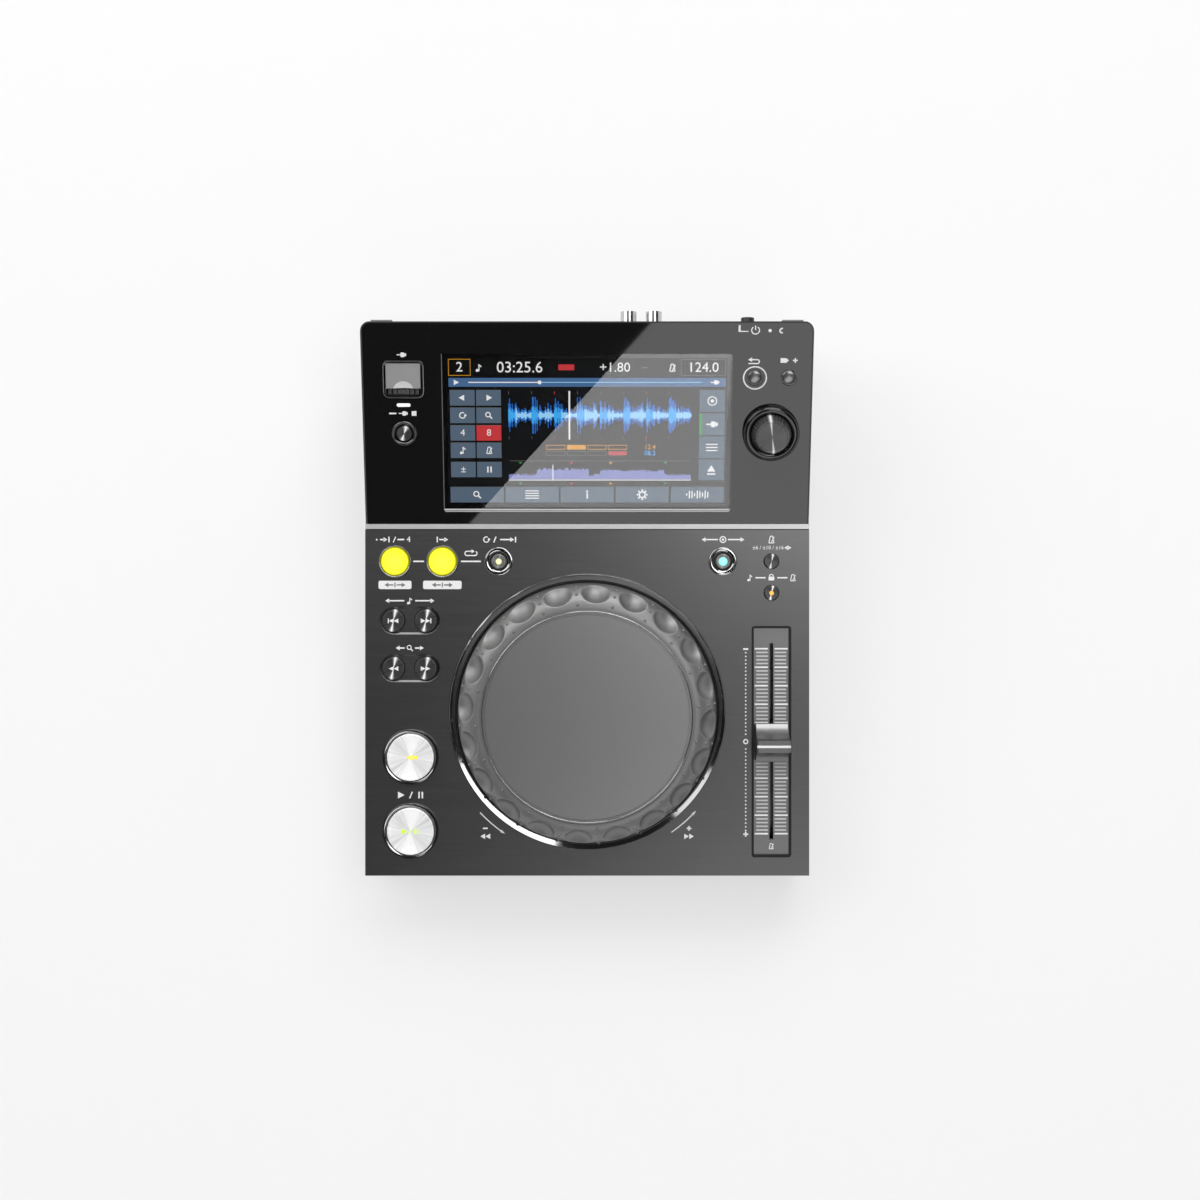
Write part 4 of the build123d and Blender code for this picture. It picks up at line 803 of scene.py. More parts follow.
# Inner radius, outer radius and rise of the bezels round each pair of caps
bezel_sizes = {("loop_in", "loop_out"): (7.2, 8.4, 1.1), ("reloop", "vinyl"): (4.9, 7.4, 0.9),
               ("cue", "play"): (12.3, 14.4, 2.4)}
piece("chrome_bezels", merged([(bezel(*sizes), at(DECK, control(name)))
                               for names, sizes in bezel_sizes.items() for name in names]),
      CHROME, "chassis", stands_for=["button_bezels"])
piece("stop_bezel", bezel(4.9, 6.4, 0.9), plated("stop_chrome", grey(96), roughness=0.16), "chassis",
      at(PANEL, control("usb_stop", PANEL)))

# Rotary selector
SELECTOR = at(PANEL, middle("selector_knob", PANEL))
knob_low, knob_high = extent("selector_knob", SELECTOR)
collar_high = extent("selector_collar", SELECTOR)[1]
knob_ribs, rib_depth = 36, 0.014
bore_radius, bore_top = 3.1, 4.0


def selector_cap():
    """Knob with a fluted skirt and a shallow spun face."""
    skirt, top = knob_high.x, knob_high.z
    bm = turned([
        (0, top - 0.35), (7.4, top - 0.25), (7.7, top), (8.2, top), (8.6, top - 0.35), (skirt - 0.25, 5.8),
        (skirt, 5.2), (skirt, knob_low.z + 0.3), (skirt - 0.3, knob_low.z), (bore_radius, knob_low.z),
        (bore_radius, bore_top), (0, bore_top),
    ], steps=knob_ribs * 6)
    for vert in bm.verts:
        if vert.co.xy.length > 8.4 and vert.co.z < top - 0.3:
            turn = atan2(vert.co.y, vert.co.x)
            vert.co.xy *= 1 - rib_depth * (1 + cos(turn * knob_ribs))
    return bm


def selector_surround():
    outer, top = collar_high.x, collar_high.z
    inner = knob_high.x + 0.3
    return turned([
        (inner, -3), (outer - 1.8, -3), (outer - 1.8, 0), (outer, 0), (outer - 0.1, top - 1.6),
        (outer - 0.5, top - 0.7), (outer - 1.2, top - 0.15), (outer - 1.8, top), (inner + 0.9, top),
        (inner + 0.25, top - 0.25), (inner, top - 0.8),
    ], steps=160, ring=True)


# Knob face with a narrow, bright painted highlight streak across it
KNOB_FACE = spun("knob_spun", grey(66), SELECTOR, roughness=0.24, contrast=1.0, sectors=1.9, streak=15.0,
                 sharpness=260.0, turn=96.0, Metallic=0.4)
piece("selector_cap", selector_cap(), KNOB_FACE, "selector_push", SELECTOR, ["selector_knob"])
piece("selector_surround", selector_surround(), gloss("collar_gloss", grey(16), roughness=0.08), "chassis",
      SELECTOR, ["selector_collar"])

# USB port: its outline, and a ledge with ribs under the lid
PORT = at(PANEL, middle("usb_frame", PANEL))
outline_width, outline_length, outline_corner, outline_wall, outline_rise = 20.9, 19.7, 3.3, 0.75, 0.12
outline_top = top_of("usb_frame", PORT) + outline_rise
piece("port_outline", soften(frame_of(outline_width, outline_length, outline_corner, outline_wall, 0,
                                      outline_top), 0.04),
      plated("port_nickel", grey(112), roughness=0.25), "chassis", PORT)
ledge_length, ledge_width, ledge_thickness, ledge_spot = 18.2, 3.2, 0.12, (0, -6.95)
ledge_low, rib_count, rib_rise = -2.45, 7, 0.75
rib_pitch = ledge_length / (rib_count + 0.6)
ledge = [(block(ledge_length, ledge_width, ledge_low, ledge_low + ledge_thickness), Matrix())]
for i in range(rib_count):
    rib = soften(block(rib_pitch * 0.45, ledge_width - 1, ledge_low, ledge_low + rib_rise), 0.08)
    ledge.append((rib, Matrix.Translation(((i - (rib_count - 1) / 2) * rib_pitch, 0, 0))))
piece("port_ledge", merged(ledge), moulded("ledge_grey", grey(88), roughness=0.5), "chassis",
      at(PORT, ledge_spot))

# Status lamps: a bar on the left and a dot on the right
BAR, DOT = (at(PANEL, middle("status_lenses", PANEL, side)) for side in (-1, 1))
bar_foot, dot_foot = (extent("status_lenses", PANEL, side)[0].z for side in (-1, 1))
bar_length, bar_width = span("status_lenses", PANEL, -1)
dot_radius, dot_top = span("status_lenses", PANEL, 1)[0] / 2, 0.04
piece("status_bar", soften(slab(bar_length, bar_width, bar_width * 0.49, bar_foot, 0.02), 0.06),
      lamp("white_lamp", grey(244), grey(214), bar_length, BAR, 0.35), "chassis", BAR, ["status_lenses"])
piece("standby_dot", turned([(0, dot_top), (dot_radius - 0.1, dot_top), (dot_radius, -0.1),
                             (dot_radius, dot_foot), (0, dot_foot)], steps=32),
      lamp("standby_lamp", grey(240), grey(170), dot_radius, DOT, 0.3), "chassis", DOT)


# Half-round strip between the deck and the display panel
def half_round():
    corner, radius = 0.3, 0.7
    low, high = (point.z for point in extent("trim_strip", DECK))
    bm = slab(*span("trim_strip", DECK), corner, low, high, 3)
    ridge = [e for e in bm.edges if all(v.co.z > high - 1e-6 for v in e.verts)
             and abs(e.verts[0].co.y - e.verts[1].co.y) < 1e-6]
    return rounded(bm, ridge, radius, 8)


piece("trim_bar", half_round(), STRIP, "chassis", at(DECK, middle("trim_strip", DECK)), ["trim_strip"])

# Sloping walls of the recesses round the two pairs of small buttons
tray_length, tray_width, tray_wall, tray_depth = 30.8, 14.2, 0.95, 0.47
pair_x = (control("track_back")[0] + control("track_forward")[0]) / 2


def tray_walls():
    """Wall whose inner edge is down at the floor of its recess."""
    bm = frame_of(tray_length, tray_width, tray_width / 2 - 0.01, tray_wall, -tray_depth, 0)
    straight = (tray_length - tray_width) / 2
    for vert in bm.verts:
        reach = Vector((max(abs(vert.co.x) - straight, 0), vert.co.y)).length
        if vert.co.z > -0.01 and reach < (tray_width - tray_wall) / 2:
            vert.co.z = -tray_depth + 0.03
    return bm


TRAY = brushed("tray_brushed", grey(104), roughness=0.3, contrast=0.3)
piece("button_trays", merged([(tray_walls(), at(DECK, (pair_x, control(name)[1])))
                              for name in ("track_back", "search_back")]), TRAY, "chassis")

# Black frame round the slider's plate, a painted shadow of its recess wall, and the white line on the knob's
# ridge
slide_low, slide_high = extent("fader_plate", DECK)
shadow_frame_corner, shadow_frame_wall = 1.4, 1.1
shadow_frame = frame_of(*span("fader_plate", DECK), shadow_frame_corner, shadow_frame_wall, slide_high.z - 0.1, -0.15)
piece("fader_shadow_frame", shadow_frame, PAINTED_SHADOW_BLACK, "chassis", at(DECK, middle("fader_plate", DECK)))
line_length, line_width = span("fader_knob", DECK)[0] - 0.02, 1.2
piece("fader_line", soften(block(line_length, line_width, -0.6, 0.08), 0.04), WHITE_INK, "tempo_slider",
      over("fader_knob", DECK))


# Printed marks
def draw(ink, x, y, *marks):
    """Draws marks round a point. Each is its kind, its place from the point and its sizes."""
    for kind, across, up, *sizes in marks:
        getattr(ink, kind)(x + across, y + up, *sizes)


deck_ink = Print()
in_x, loop_y = control("loop_in")
out_x, reloop_x, vinyl_x = (control(name)[0] for name in ("loop_out", "reloop", "vinyl"))
label_y, label_height = loop_y + 11.2, 2.9
box_y, box_height, box_corner = loop_y - 12.1, 4.3, 0.9
link_width = 0.75
deck_ink.line((in_x + 9.4, loop_y), (out_x - 9.4, loop_y), link_width)
deck_ink.line((out_x + 9.6, loop_y), (reloop_x - 9.2, loop_y), link_width)
for x, width in ((in_x, 16.9), (out_x, 19.8)):
    deck_ink.pad(x, box_y, width, box_height, box_corner)
draw(deck_ink, in_x, label_y, ("dot", -9.4, 0, 0.45), ("arrow", -5.9, 0, 3.6),
     ("bar", -3.1, 0, 0.6, label_height), ("slash", -0.3, 0, 1.2, 3.0, 0.5), ("bar", 3.0, 0, 3.4, 0.75),
     ("figures", 7.0, 0, "4", label_height))
draw(deck_ink, out_x, label_y, ("bar", -2.6, 0, 0.6, label_height), ("arrow", 0.6, 0, 4.4))
draw(deck_ink, (out_x + reloop_x) / 2, loop_y, ("arc", -1.8, 4.1, 1.1, 0.55, 90, 270),
     ("arc", 2.2, 4.1, 1.1, 0.55, -90, 60), ("bar", 0.2, 3.0, 4.0, 0.55), ("bar", -0.6, 5.2, 2.4, 0.55),
     ("pointer", 1.3, 5.2, 1.6, 2.0))
draw(deck_ink, reloop_x, label_y, ("loop", -6.4, 0, 3.4), ("slash", -2.0, 0, 1.2, 3.0, 0.6),
     ("arrow", 4.2, 0, 7.0), ("bar", 8.6, 0, 0.7, label_height))
draw(deck_ink, vinyl_x, label_y, ("arc", 0, 0, 1.5, 0.55), ("dot", 0, 0, 0.6),
     ("arrow", -6.7, 0, 8.2, 180), ("arrow", 6.7, 0, 8.2))
draw(deck_ink, pair_x, control("track_back")[1] + 10.2, ("note", 0, 0, 3.2),
     ("arrow", -7.6, 0, 9.6, 180), ("arrow", 7.6, 0, 9.6))
draw(deck_ink, pair_x, control("search_back")[1] + 10.4, ("lens", 0, 0, 3.2),
     ("arrow", -4.8, 0, 4.4, 180), ("arrow", 4.8, 0, 4.4))
draw(deck_ink, *control("play"), ("pointer", -5.0, 18.1, 3.4, 3.6), ("slash", 0, 18.1, 1.4, 3.4, 0.65),
     ("pause", 5.0, 18.1, 3.4))
draw(deck_ink, *control("tempo_range"), ("metronome", 0, 11.2, 3.5),
     ("figures", -1.7, 7.0, "\u00b16 / \u00b110 / \u00b116", 1.9), ("arrow", 8.9, 7.0, 2.4),
     ("arrow", 7.9, 7.0, 2.4, 180))
draw(deck_ink, control("tempo_range")[0], control("master_tempo")[1], ("pad", 0, 7.4, 3.0, 2.0, 0.3),
     ("arc", 0, 8.5, 1.0, 0.5, 0, 180), ("bar", -5.6, 7.8, 5.2, 0.7), ("bar", 5.6, 7.8, 5.2, 0.7),
     ("note", -11.0, 7.8, 3.2), ("metronome", 11.0, 7.8, 3.2))

# Tempo scale beside the slider
fader_x = (slide_low.x + slide_high.x) / 2
scale_x = fader_x - 13.2
scale_top, scale_foot, scale_steps = 116.4, 21.3, 50
scale_middle, middle_gap = (scale_top + scale_foot) / 2, 3.2
scale_places = [scale_foot + (scale_top - scale_foot) * i / scale_steps for i in range(scale_steps + 1)]
deck_ink.bar(scale_x, scale_top, 2.6, 0.85)
draw(deck_ink, scale_x, scale_foot, ("bar", 0, 0, 2.6, 0.8), ("bar", 0, 0, 0.8, 2.6))
deck_ink.arc(scale_x, scale_middle, 1.05, 0.62)
for y in scale_places[1:-1]:
    if abs(y - scale_middle) > middle_gap:
        deck_ink.dot(scale_x, y, 0.42, 12)

# Turning arrows beside the jog wheel, with their signs
arrow_radius, arrow_span = 75.7, 11.8
sign_x, sign_y = 52.3, 24.3
jog_y = middle("jog_plate", DECK)[1]
for side, start in ((-1, 223.4), (1, 304.8)):
    tip = start + arrow_span
    x, y = arrow_radius * cos(radians(tip)), jog_y + arrow_radius * sin(radians(tip))
    deck_ink.arc(0, jog_y, arrow_radius, 0.55, start, tip)
    deck_ink.pointer(x, y, 2.6, 1.5, tip + 90)
    draw(deck_ink, side * sign_x, sign_y, ("bar", 0, 0, 2.4, 0.75),
         *(("pointer", step, -4.1, 2.4, 2.8, 90 - side * 90) for step in (-1.3, 1.3)))
deck_ink.bar(sign_x, sign_y, 0.75, 2.4)
printed("deck_print", deck_ink, WHITE_INK)

box_ink = Print()
for x in (in_x, out_x):
    draw(box_ink, x, box_y, ("arrow", -3.0, 0, 4.4, 180), ("bar", 0, 0, 0.6, 2.4), ("arrow", 3.0, 0, 4.4))
printed("box_print", box_ink, DARK_INK, thickness=0.06)

# Graduations on the slider's plate, either side of its slot: reach and thickness of long and short ones
slot_side = 1.7
long_mark, short_mark = (8.5, 0.8), (7.7, 0.76)
long_ink, short_ink = Print(), Print()
for i, y in enumerate(scale_places):
    ink, (reach, thick) = (short_ink, short_mark) if i % 5 else (long_ink, long_mark)
    for side in (-1, 1):
        ink.bar(fader_x + side * (slot_side + reach) / 2, y, reach - slot_side, thick)
long_ink.metronome(fader_x, slide_low.y + 5.4, 2.8)
PLATE = at(DECK, (0, 0), slide_high.z)
printed("fader_marks", long_ink, WHITE_INK, PLATE)
printed("fader_fine_marks", short_ink, GREY_INK, PLATE)


# Symbols on the caps
def cap_symbol(name, material, slot, sink, thickness, *marks):
    ink = Print()
    draw(ink, 0, 0, *marks)
    printed(name + "_symbol", ink, material, over(name + "_button", DECK, sink), thickness, name)


for name, side, stop_bar in (("track_back", -1, True), ("track_forward", 1, True), ("search_back", -1, False),
                             ("search_forward", 1, False)):
    marks = [("pointer", side * place, 0, 2.5, 2.4, 90 - side * 90) for place in (-1.3, 1.1)]
    if stop_bar:
        marks.append(("bar", side * 2.6, 0, 0.55, 2.5))
    cap_symbol(name, WHITE_INK, "light_pipe", 0.11, 0.1, *marks)
CUE_INK = shining(moulded("cue_ink", srgb(250, 226, 60), contrast=0.1), 0.35)
PLAY_INK = shining(moulded("play_ink", srgb(196, 246, 20), contrast=0.1), 0.35)
cap_symbol("cue", CUE_INK, "loop_lit", 0.24, 0.12, ("pointer", -1.0, 0, 2.4, 2.5, 180),
           ("bar", 0.9, 0, 0.7, 2.5), ("dot", 2.7, 0, 1.0))
cap_symbol("play", PLAY_INK, "loop_lit", 0.24, 0.12, ("pointer", -3.0, 0, 2.7, 2.7),
           ("slash", -0.2, 0, 1.4, 2.2, 0.35), ("pause", 3.0, 0, 2.6))

# Marks on the display panel
panel_ink = Print()
draw(panel_ink, *middle("usb_frame", PANEL), ("plug", 0, 12.6, 2.4))
draw(panel_ink, *control("usb_stop", PANEL), ("bar", -5.6, 10.4, 3.6, 0.8), ("plug", 0.2, 10.4, 2.3),
     ("bar", 5.2, 10.4, 2.4, 2.4))
power_mark = (84.3, 101.6)
draw(panel_ink, *power_mark, ("arc", 0, 0, 1.95, 0.55, 125, 415), ("bar", 0, 1.2, 0.55, 2.4),
     ("bar", -8.0, 0.9, 1.0, 3.4), ("bar", -5.6, -0.6, 4.0, 0.5))
draw(panel_ink, *middle("status_lenses", PANEL, 1), ("arc", 6.0, 0, 1.1, 0.7, 70, 290))
draw(panel_ink, *control("back", PANEL), ("arc", 0, 0, 5.75, 0.65), ("pointer", -2.6, 9.4, 2.0, 2.4, 180),
     ("bar", -0.4, 9.4, 3.0, 0.6), ("arc", 1.0, 8.4, 1.0, 0.6, -90, 90), ("bar", -1.2, 7.4, 4.4, 0.6))
draw(panel_ink, *control("tag", PANEL), ("tag", -2.4, 9.0, 2.9), ("bar", 3.0, 9.0, 2.4, 0.7),
     ("bar", 3.0, 9.0, 0.7, 2.4))
printed("panel_print", panel_ink, WHITE_INK, PANEL)

# Finger scoop of the lid over the port
LID = at(PORT, (0, 0), top_of("usb_flap", PORT))
lid_edge = extent("usb_flap", LID)[0].y
scoop_radius, scoop_depth, scoop_reach, scoop_steps = 5.3, 0.9, 3.7, 12
ball = (scoop_radius ** 2 + scoop_depth ** 2) / (2 * scoop_depth)


def lid_scoop():
    """Part of a shallow dish, cut off at the lid's edge."""
    reaches = [scoop_radius * i / scoop_steps for i in range(scoop_steps + 1)]
    dish = [(reach, ball - scoop_depth - sqrt(ball ** 2 - reach ** 2)) for reach in reaches]
    bm = turned([(r, z + 0.03) for r, z in dish] + [(r, z - 0.05) for r, z in reversed(dish)], steps=64)
    moved(bm, bm.verts, (0, lid_edge + scoop_reach - scoop_radius, 0))
    cut = sliced(bm, (0, lid_edge + 0.05, 0), (0, 1, 0), clear_inner=True)
    bmesh.ops.holes_fill(bm, edges=[e for e in cut if isinstance(e, bmesh.types.BMEdge)])
    return tidy(bm)


piece("lid_scoop", lid_scoop(), plated("scoop_silver", grey(232), roughness=0.4, Metallic=0.3), "usb_lid",
      LID)

# Sockets in the rear
jacks_x, jacks_y = middle("phono_jacks", REAR)
network_x, network_y = middle("network_jack", REAR)
host_x = middle("usb_b_jack", REAR)[0]
inlet_x, inlet_y = middle("ac_inlet", REAR)
jack_half_pitch = 6.55
contact_count, contact_pitch, contact_drop = 8, 1.02, 4.62
pin_half_pitch = 4.3


def insulator():
    """Coloured ring inside a phono jack's sleeve."""
    return turned([(1.75, -0.8), (3.4, -0.8), (3.4, -0.55), (3.1, -0.42), (2.0, -0.42), (1.75, -0.55)],
                  ring=True)


def inlet_pin():
    return turned([(0, 3.02), (1.28, 3.02), (1.28, 12.7), (1.0, 13.05), (0, 13.05)], steps=24)


for name, side, color in (("left_insulator", -1, grey(232)), ("right_insulator", 1, srgb(196, 34, 40))):
    place = at(REAR, (jacks_x + side * jack_half_pitch, jacks_y), top_of("phono_jacks", REAR))
    piece(name, insulator(), moulded(name, color, roughness=0.4, contrast=0.1, bump=0.05), "chassis", place)
network_front = top_of("network_jack", REAR)
contacts = [(network_x + contact_pitch * (i - (contact_count - 1) / 2), network_y - contact_drop)
            for i in range(contact_count)]
piece("network_contacts", merged([(block(0.5, 0.4, -10.0, -1.2), at(REAR, spot, network_front))
                                  for spot in contacts]), GOLD, "chassis")
inlet_back = extent("ac_inlet", REAR)[0].z
piece("inlet_pins", merged([(inlet_pin(), at(REAR, (inlet_x + side * pin_half_pitch, inlet_y), inlet_back))
                            for side in (-1, 1)]), NICKEL, "chassis")
piece("host_tongue", soften(block(5.7, 3.3, -14.3, -1.95), 0.3), SATIN_BLACK, "chassis",
      over("usb_b_jack", REAR))


def screw_spots(face):
    """Middles of the screw heads that are nearest to a face, with the height of their tops."""
    head_width = 8
    inverse = face.inverted()
    points = [inverse @ (v.co / MM) for v in nodes["case_screws"].data.vertices]
    top = max(p.z for p in points)
    groups = []
    for point in (p for p in points if p.z > top - 0.1):
        near = next((group for group in groups if (group[0].xy - point.xy).length < head_width), None)
        if near:
            near.append(point)
        else:
            groups.append([point])
    return [(sum((p.xy for p in group), Vector((0, 0))) / len(group), group[0].z) for group in groups]


def screw(height, shank):
    """Screw with a domed head and a tapered cross recess."""
    bm = turned([(0, height), (2.1, height), (2.6, height - 0.25), (2.8, height - 0.6), (2.8, 0), (1.48, 0),
                 (1.48, -shank), (0, -shank)], steps=24)
    slot_half, slot_reach, slot_depth, slot_taper = 0.35, 1.3, 0.8, 0.6
    for normal in ((1, 0, 0), (0, 1, 0)):
        for cut in (-slot_reach, -slot_half, slot_half, slot_reach):
            sliced(bm, Vector(normal) * cut, normal, dist=1e-6)
    recess = []
    for face in bm.faces:
        centre = face.calc_center_median()
        across, along = sorted(abs(value) for value in centre.xy)
        if face.normal.z > 0.9 and across < slot_half and along < slot_reach and centre.z > 0:
            recess.append(face)
    floor = moved(bm, bmesh.ops.extrude_face_region(bm, geom=recess)["geom"], (0, 0, -slot_depth))
    bmesh.ops.scale(bm, verts=floor, vec=(slot_taper, slot_taper, 1))
    return tidy(bm)


# Face, height of the head and length of the shank
screw_kinds = ((REAR, 1.1, 7.0), (BASE, 2.2, 15.0))
piece("screws", merged([(screw(height, shank), at(face, spot, top - height))
                        for face, height, shank in screw_kinds for spot, top in screw_spots(face)]),
      STEEL, "chassis", stands_for=["case_screws"])

# Marks on the rear
rear_ink, switch_ink = Print(), Print()
mark_y = extent("phono_jacks", REAR)[1].y + 2.8
rear_ink.note(jacks_x, mark_y, 3.2)
draw(rear_ink, network_x, mark_y, ("bar", 0, 0, 4.6, 0.3),
     *(("bar", x, y, 1.3, 1.3) for x, y in ((0, 1.0), (-2.2, -1.2), (0, -1.2), (2.2, -1.2))))
rear_ink.plug(host_x, mark_y, 2.4)
draw(rear_ink, inlet_x, inlet_y, ("arc", -1.0, 11.0, 0.9, 0.5, 0, 180),
     ("arc", 0.8, 11.0, 0.9, 0.5, 180, 360))
printed("rear_print", rear_ink, GREY_INK, at(REAR, (0, 0), top_of("rear_panel", REAR)))
draw(switch_ink, *control("power", REAR), ("arc", 0, 8.2, 1.5, 0.45, 125, 415), ("bar", 0, 9.2, 0.45, 1.9))
printed("switch_print", switch_ink, GREY_INK, REAR)

# Painted highlights along the front and side edges of the screen's glass, where its bevel would catch the
# light
glass_low, glass_high = extent("touch_glass", PANEL)
glass_x, glass_y = middle("touch_glass", PANEL)
glass_width, glass_length = span("touch_glass", PANEL)
front_highlight_ink, side_highlight_ink = Print(), Print()
draw(front_highlight_ink, glass_x, glass_low.y, ("bar", 0, -0.1, glass_width, 0.85),
     ("bar", 0, -1.1, glass_width - 1.0, 0.35))
for x in (glass_low.x, glass_high.x):
    side_highlight_ink.bar(x, glass_y, 0.45, glass_length)
printed("glass_front_highlight", front_highlight_ink, EDGE_HIGHLIGHT, PANEL, 0.05)
printed("glass_side_highlights", side_highlight_ink, SIDE_HIGHLIGHT, PANEL, 0.05)

# Picture on the screen: colour and thickness of each ink
SCREEN = at(PANEL, (glass_x, glass_y), top_of("lcd_module", PANEL))
ink_looks = {
    "tile": (srgb(86, 102, 119), 0.04), "header": (srgb(70, 104, 146), 0.04),
    "red": (srgb(196, 58, 62), 0.08), "white": (grey(232), 0.16), "dim": (grey(96), 0.12),
    "amber": (srgb(214, 150, 30), 0.12), "green": (srgb(60, 150, 70), 0.12),
    "lavender": (srgb(128, 134, 190), 0.04), "deep": (srgb(38, 104, 190), 0.04),
    "bright": (srgb(64, 170, 240), 0.08), "pale": (srgb(150, 208, 246), 0.08),
}
inks = {name: Print() for name in ink_looks}
white = inks["white"]


def tile(x, y, width, height, ink="tile"):
    inks[ink].bar(x, y, width, height)
    inks["dim"].bar(x, y + height / 2 - 0.1, width, 0.2)


def border(ink, x, y, width, height, thick=0.3):
    for side in (-1, 1):
        inks[ink].bar(x, y + side * (height - thick) / 2, width, thick)
        inks[ink].bar(x + side * (width - thick) / 2, y, thick, height)


# Figures along the top: player, time, tempo and beats
top_y = 33.4
border("amber", -64.4, top_y, 11.2, 8.6, 0.25)
border("dim", 58.6, top_y, 22.6, 8.6)
draw(white, 0, top_y, ("figures", -64.4, 0, "2", 5.0), ("figures", -34.0, -0.2, "03:25.6", 5.6),
     ("note", -54.5, -0.2, 3.6), ("figures", 14.0, -0.2, "+1.80", 4.8), ("figures", 58.6, -0.2, "124.0", 5.0),
     ("metronome", 43.0, -0.2, 3.6))
inks["red"].bar(-10.5, top_y, 8.0, 3.0)
inks["dim"].bar(29.0, top_y - 0.2, 3.0, 0.6)
# Title bar with a progress line
title_y, title_width = 25.6, 140.0
progress_start, progress_now, progress_end = -60, -24, 58
inks["header"].bar(0, title_y, title_width, 4.6)
white.line((progress_start, title_y), (progress_now, title_y), 0.5)
inks["pale"].line((progress_now, title_y), (progress_end, title_y), 0.35)
draw(white, 0, title_y, ("pointer", -66.0, 0, 2.6, 2.8), ("dot", progress_now, 0, 1.0),
     ("plug", 65.0, 0, 2.2))
# Waveform with its beat marks and a play line
wave_left, wave_right, wave_y, wave_half = -40.0, 53.0, 8.4, 9.6
wave_length = wave_right - wave_left
wave_steps, beat_steps = 200, 25
beat_count = wave_steps // beat_steps
chance = random.Random(11)
for i in range(wave_steps):
    x = wave_left + wave_length * (i + 0.5) / wave_steps
    beat = i % beat_steps / beat_steps
    echo = max(0, sin(beat * 3 * pi + 0.6)) * (i // beat_steps % 2)
    swell = 0.3 + 0.7 * (1 - beat) ** 1.6 + 0.4 * echo
    height = 2 * wave_half * min(1, swell * chance.uniform(0.35, 1.0))
    inks["deep"].bar(x, wave_y, wave_length / wave_steps, height)
    inks["bright" if beat < 0.3 else "pale"].bar(x, wave_y, wave_length / wave_steps,
                                                 height * chance.uniform(0.35, 0.62))
for i in range(beat_count):
    for side in (-1, 1):
        inks["red" if i % 4 == 2 else "dim"].bar(wave_left + wave_length * i / beat_count + 0.3,
                                                 wave_y + side * (wave_half + 2.2), 0.3, 1.4)
play_line = Print()
play_line.bar(-9.0, wave_y, 0.8, 2 * wave_half + 6.2)
# Phase bars under the waveform
phase_left, phase_pitch = -16.0, 10.5
phase_rows = {"amber": -8.4, "dim": -11.6}
for ink, y in phase_rows.items():
    for i in range(4):
        border(ink, phase_left + i * phase_pitch, y, 9.6, 2.4, 0.25)
for ink, place, row in (("amber", 1, "amber"), ("red", 3, "dim")):
    inks[ink].bar(phase_left + place * phase_pitch, phase_rows[row], 9.0, 1.9)
inks["amber"].figures(32.0, phase_rows["amber"], "12.4", 2.4)
inks["bright"].figures(32.0, phase_rows["dim"], "08.2", 2.4)
# Overview of the whole track
over_foot, over_steps = -25.4, 150
for i in range(over_steps):
    x = wave_left + wave_length * (i + 0.5) / over_steps
    level = 2.4 + 3.0 * (22 < i < 66) + 2.2 * (74 < i < 128) + chance.uniform(-0.7, 0.7)
    inks["lavender"].bar(x, over_foot + level / 2, 0.63, level)
white.bar(wave_left + wave_length / 2, over_foot - 0.4, wave_length, 0.4)
play_line.bar(-17.5, over_foot + 3.6, 0.4, 8.4)
for x, ink in ((-34, "green"), (-8, "red"), (12, "amber"), (40, "green")):
    draw(inks[ink], x, over_foot, ("pointer", 0, 8.6, 1.2, 1.8, -90), ("pointer", 0, -2.0, 1.2, 1.8, 90))
# Tiles in two columns on the left, each with its symbol
columns, rows = (-63.2, -49.9), (17.6, 8.4, -0.8, -10.0, -20.2)
symbols = (
    (("pointer", -0.4, 0, 2.8, 3.2, 180), ("pointer", 0.4, 0, 2.8, 3.2)),
    (("loop", 0, 0, 3.6), ("lens", 0, 0, 3.6)),
    (("figures", 0, 0, "4", 3.4), ("figures", 0, 0, "8", 3.4)),
    (("note", 0, 0, 3.6), ("metronome", 0, 0, 3.4)),
    (("figures", 0, 0, "\u00b1", 3.4), ("pause", 0, 0, 3.2)),
)
for y, pair in zip(rows, symbols):
    for x, symbol in zip(columns, pair):
        tile(x, y, 12.6, 8.2, "red" if (x, y) == (columns[1], rows[2]) else "tile")
        draw(white, x, y, symbol)
# Tiles in one column on the right
side_x = 63.4
for y, height in ((15.9, 11.6), (3.7, 11.6), (-8.5, 11.6), (-20.4, 11.0)):
    tile(side_x, y, 12.9, height)
inks["green"].bar(side_x - 5.8, 3.7, 1.3, 11.6)
draw(white, side_x, 0, ("arc", 0, 15.9, 2.2, 0.5), ("dot", 0, 15.9, 0.9), ("plug", 0.6, 3.7, 3.0),
     *(("bar", 0, -6.9 - 1.6 * i, 6.0, 0.55) for i in range(3)), ("pointer", 0, -19.6, 3.4, 4.2, 90),
     ("bar", 0, -22.6, 4.2, 0.7))
# Tabs along the foot: glass, list, information, gear and wave
tab_y, tab_pitch = -33.6, 28.2
for i in range(5):
    tile((i - 2) * tab_pitch, tab_y, 27.2, 8.4)
draw(white, -2 * tab_pitch, tab_y, ("lens", 0, 0, 4.0))
draw(white, -tab_pitch, tab_y, *(("bar", 0, 2.0 - 1.3 * i, 7.0, 0.5) for i in range(4)))
draw(white, 0, tab_y, ("dot", 0, 1.7, 0.55), ("bar", 0, -0.7, 0.8, 2.8))
draw(white, tab_pitch, tab_y, ("arc", 0, 0, 1.5, 0.7),
     *(("dot", 2.4 * cos(i * pi / 4), 2.4 * sin(i * pi / 4), 0.5, 8) for i in range(8)))
draw(white, 2 * tab_pitch, tab_y, *(("bar", 1.35 * i - 5.4, 0, 0.6, 1.2 + 3.2 * abs(sin(i * 1.1)))
                                    for i in range(9)))
